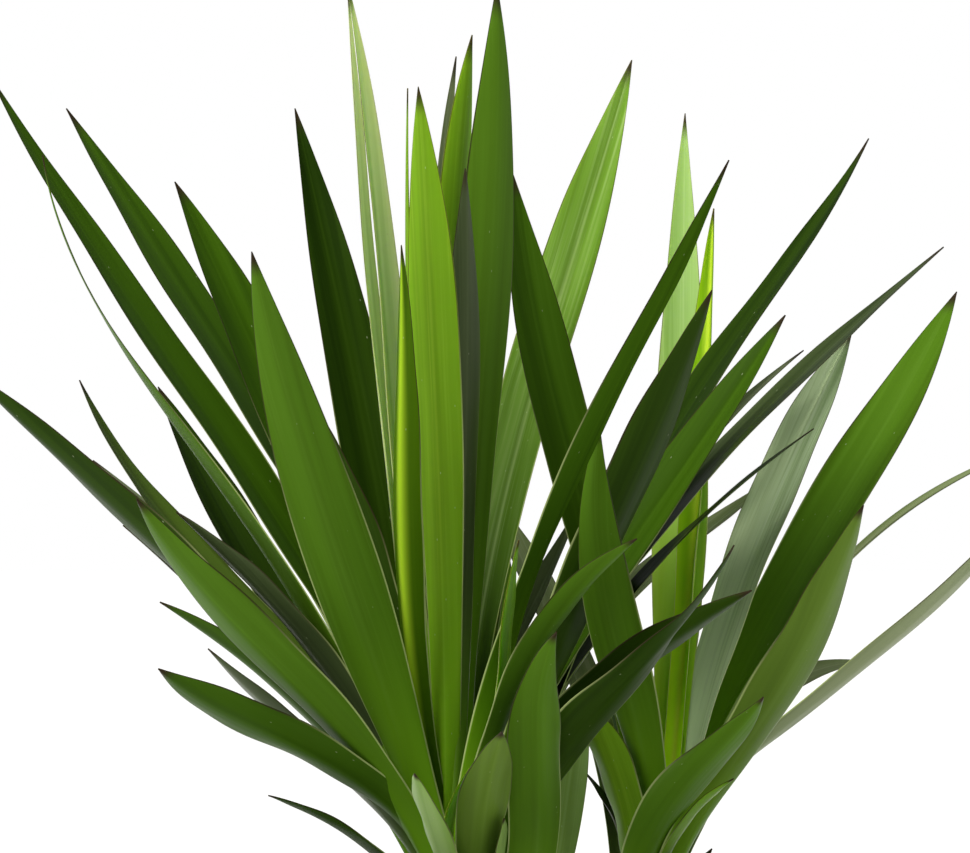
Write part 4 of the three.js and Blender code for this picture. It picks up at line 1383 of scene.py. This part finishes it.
def bark_material(colour):
    """Grey-brown bark: dark cracks that run up the cane, pale worn plates and leaf scars."""
    material, w, shader = new_material("cane_bark")
    upright = w.stretched(w.object_place(), (1, 1, 0.22))
    bark = mottle(w, upright, rgba(colour, 0.42), rgba(colour, 1.5), 120.0, 1100.0, 0.7)
    rings = w.noise(w.stretched(w.object_place(), (20, 20, 165)))
    body = w.mix(w.ramp(rings, 0.56, 0.68, 0.0, 0.5), bark["Color"], rgba(colour, 0.35))
    # Darker in the hollows that the surface's pointiness finds, and paler on its crests.
    hollows = w.tree.nodes.new("ShaderNodeNewGeometry").outputs["Pointiness"]
    body = w.mix(w.ramp(hollows, 0.44, 0.5, 0.75, 0.0), body, rgba(colour, 0.18))
    body = w.mix(w.ramp(hollows, 0.51, 0.56, 0.0, 0.5), body, rgba(WORN_BARK))
    finish_shader(w, shader, body, w.ramp(bark["Mask"], 0.0, 1.0, 0.95, 0.75), bark["Height"], 0.7 * MM)
    shader.inputs["Specular IOR Level"].default_value = 0.25
    return material


def sawn_material():
    """The sawn end: pale wood with the dark ends of its fibre bundles."""
    material, w, shader = new_material("cane_sawn_end")
    place = w.object_place()
    wood = mottle(w, place, rgba(SAWN_DARK), rgba(SAWN_LIGHT), 70.0, 1600.0, 0.6)
    bundles = w.ramp(w.spots(w.stretched(place, (1, 1, 0.02)), 700.0), 0.18, 0.34, 0.7, 0.0)
    body = w.mix(bundles, wood["Color"], rgba(FIBRE_ENDS))
    finish_shader(w, shader, body, w.ramp(wood["Mask"], 0.0, 1.0, 0.9, 0.75), wood["Height"], 0.3 * MM)
    return material


def soil_material(colour):
    """Dark moist soil with lighter chips."""
    material, w, shader = new_material("potting_soil")
    place = w.object_place()
    earth = mottle(w, place, rgba(colour, 0.45), rgba(colour, 2.2), 210.0, 1500.0, 0.8)
    chips = w.ramp(w.spots(place, 160.0), 0.1, 0.2, 0.75, 0.0)
    body = w.mix(chips, earth["Color"], rgba(BARK_CHIPS))
    finish_shader(w, shader, body, w.ramp(earth["Mask"], 0.0, 1.0, 0.98, 0.82), earth["Height"], 0.8 * MM)
    shader.inputs["Specular IOR Level"].default_value = 0.2
    return material


def pot_material(colour):
    """Matt clay-coloured pot with fine speckle, and a pale bloom low on its wall and on its rim."""
    material, w, shader = new_material("pot_clay")
    place = w.object_place()
    clay = mottle(w, place, rgba(colour, 0.82), rgba(colour, 1.22), 16.0, 1300.0, 0.45)
    parts = w.tree.nodes.new("ShaderNodeSeparateXYZ")
    w.set(parts.inputs[0], place)
    height = parts.outputs[2]
    cloud = w.noise(place, 38.0, detail=5, roughness=0.6)
    low = w.math("MULTIPLY", w.ramp(height, 0.0, 0.09, 1.0, 0.0), w.ramp(cloud, 0.42, 0.72))
    high = w.math("MULTIPLY", w.ramp(height, 0.15, 0.184), w.ramp(cloud, 0.5, 0.75, 0.0, 0.6))
    bloom = w.math("MULTIPLY", w.math("MAXIMUM", low, high), 0.55)
    body = w.mix(bloom, clay["Color"], rgba(LIME_BLOOM))
    finish_shader(w, shader, body, w.ramp(clay["Mask"], 0.0, 1.0, 0.78, 0.62), clay["Height"], 0.25 * MM)
    shader.inputs["Specular IOR Level"].default_value = 0.3
    return material


def floor_material():
    """A plain white studio floor with a faint mottle."""
    material, w, shader = new_material("studio_floor")
    grain = w.noise(w.object_place(), 3.0)
    w.set(shader.inputs["Base Color"], w.mix(grain, rgba(FLOOR_DARK), rgba(FLOOR_LIGHT)))
    shader.inputs["Roughness"].default_value = 0.9
    shader.inputs["Specular IOR Level"].default_value = 0.1
    return material


class YUCCA_PT_panel(bpy.types.Panel):
    """Lists the pieces of the plant and the sizes and colours that shape them"""

    bl_idname = "YUCCA_PT_panel"
    bl_label = "Potted Yucca"
    bl_space_type = "VIEW_3D"
    bl_region_type = "UI"
    bl_category = "Yucca"

    def draw(self, context):
        for operator, owner in STEPS:
            box = self.layout.box()
            box.operator(operator.bl_idname)
            settings = getattr(context.scene, owner)
            for name in settings.__annotations__:
                box.prop(settings, name)


SETTINGS = {
    "yucca_pot": YuccaPotSettings,
    "yucca_soil": YuccaSoilSettings,
    "yucca_cane": YuccaCaneSettings,
    "yucca_leaf": YuccaLeafSettings,
    "yucca_stage": YuccaStageSettings,
}
STEPS = (
    (YUCCA_OT_stage, "yucca_stage"),
    (YUCCA_OT_pot, "yucca_pot"),
    (YUCCA_OT_soil, "yucca_soil"),
    (YUCCA_OT_cane, "yucca_cane"),
    (YUCCA_OT_left_shoot, "yucca_leaf"),
    (YUCCA_OT_right_shoot, "yucca_leaf"),
)
CLASSES = (*SETTINGS.values(), *[operator for operator, _ in STEPS], YUCCA_PT_panel)


def register():
    for each in CLASSES:
        bpy.utils.register_class(each)
    for name, settings in SETTINGS.items():
        setattr(bpy.types.Scene, name, bpy.props.PointerProperty(type=settings))


def unregister():
    for name in SETTINGS:
        delattr(bpy.types.Scene, name)
    for each in reversed(CLASSES):
        bpy.utils.unregister_class(each)


def main():
    register()
    bpy.ops.yucca.stage()
    bpy.ops.yucca.pot()
    bpy.ops.yucca.soil()
    bpy.ops.yucca.cane()
    bpy.ops.yucca.left_shoot()
    bpy.ops.yucca.right_shoot()


if __name__ == "__main__":
    main()
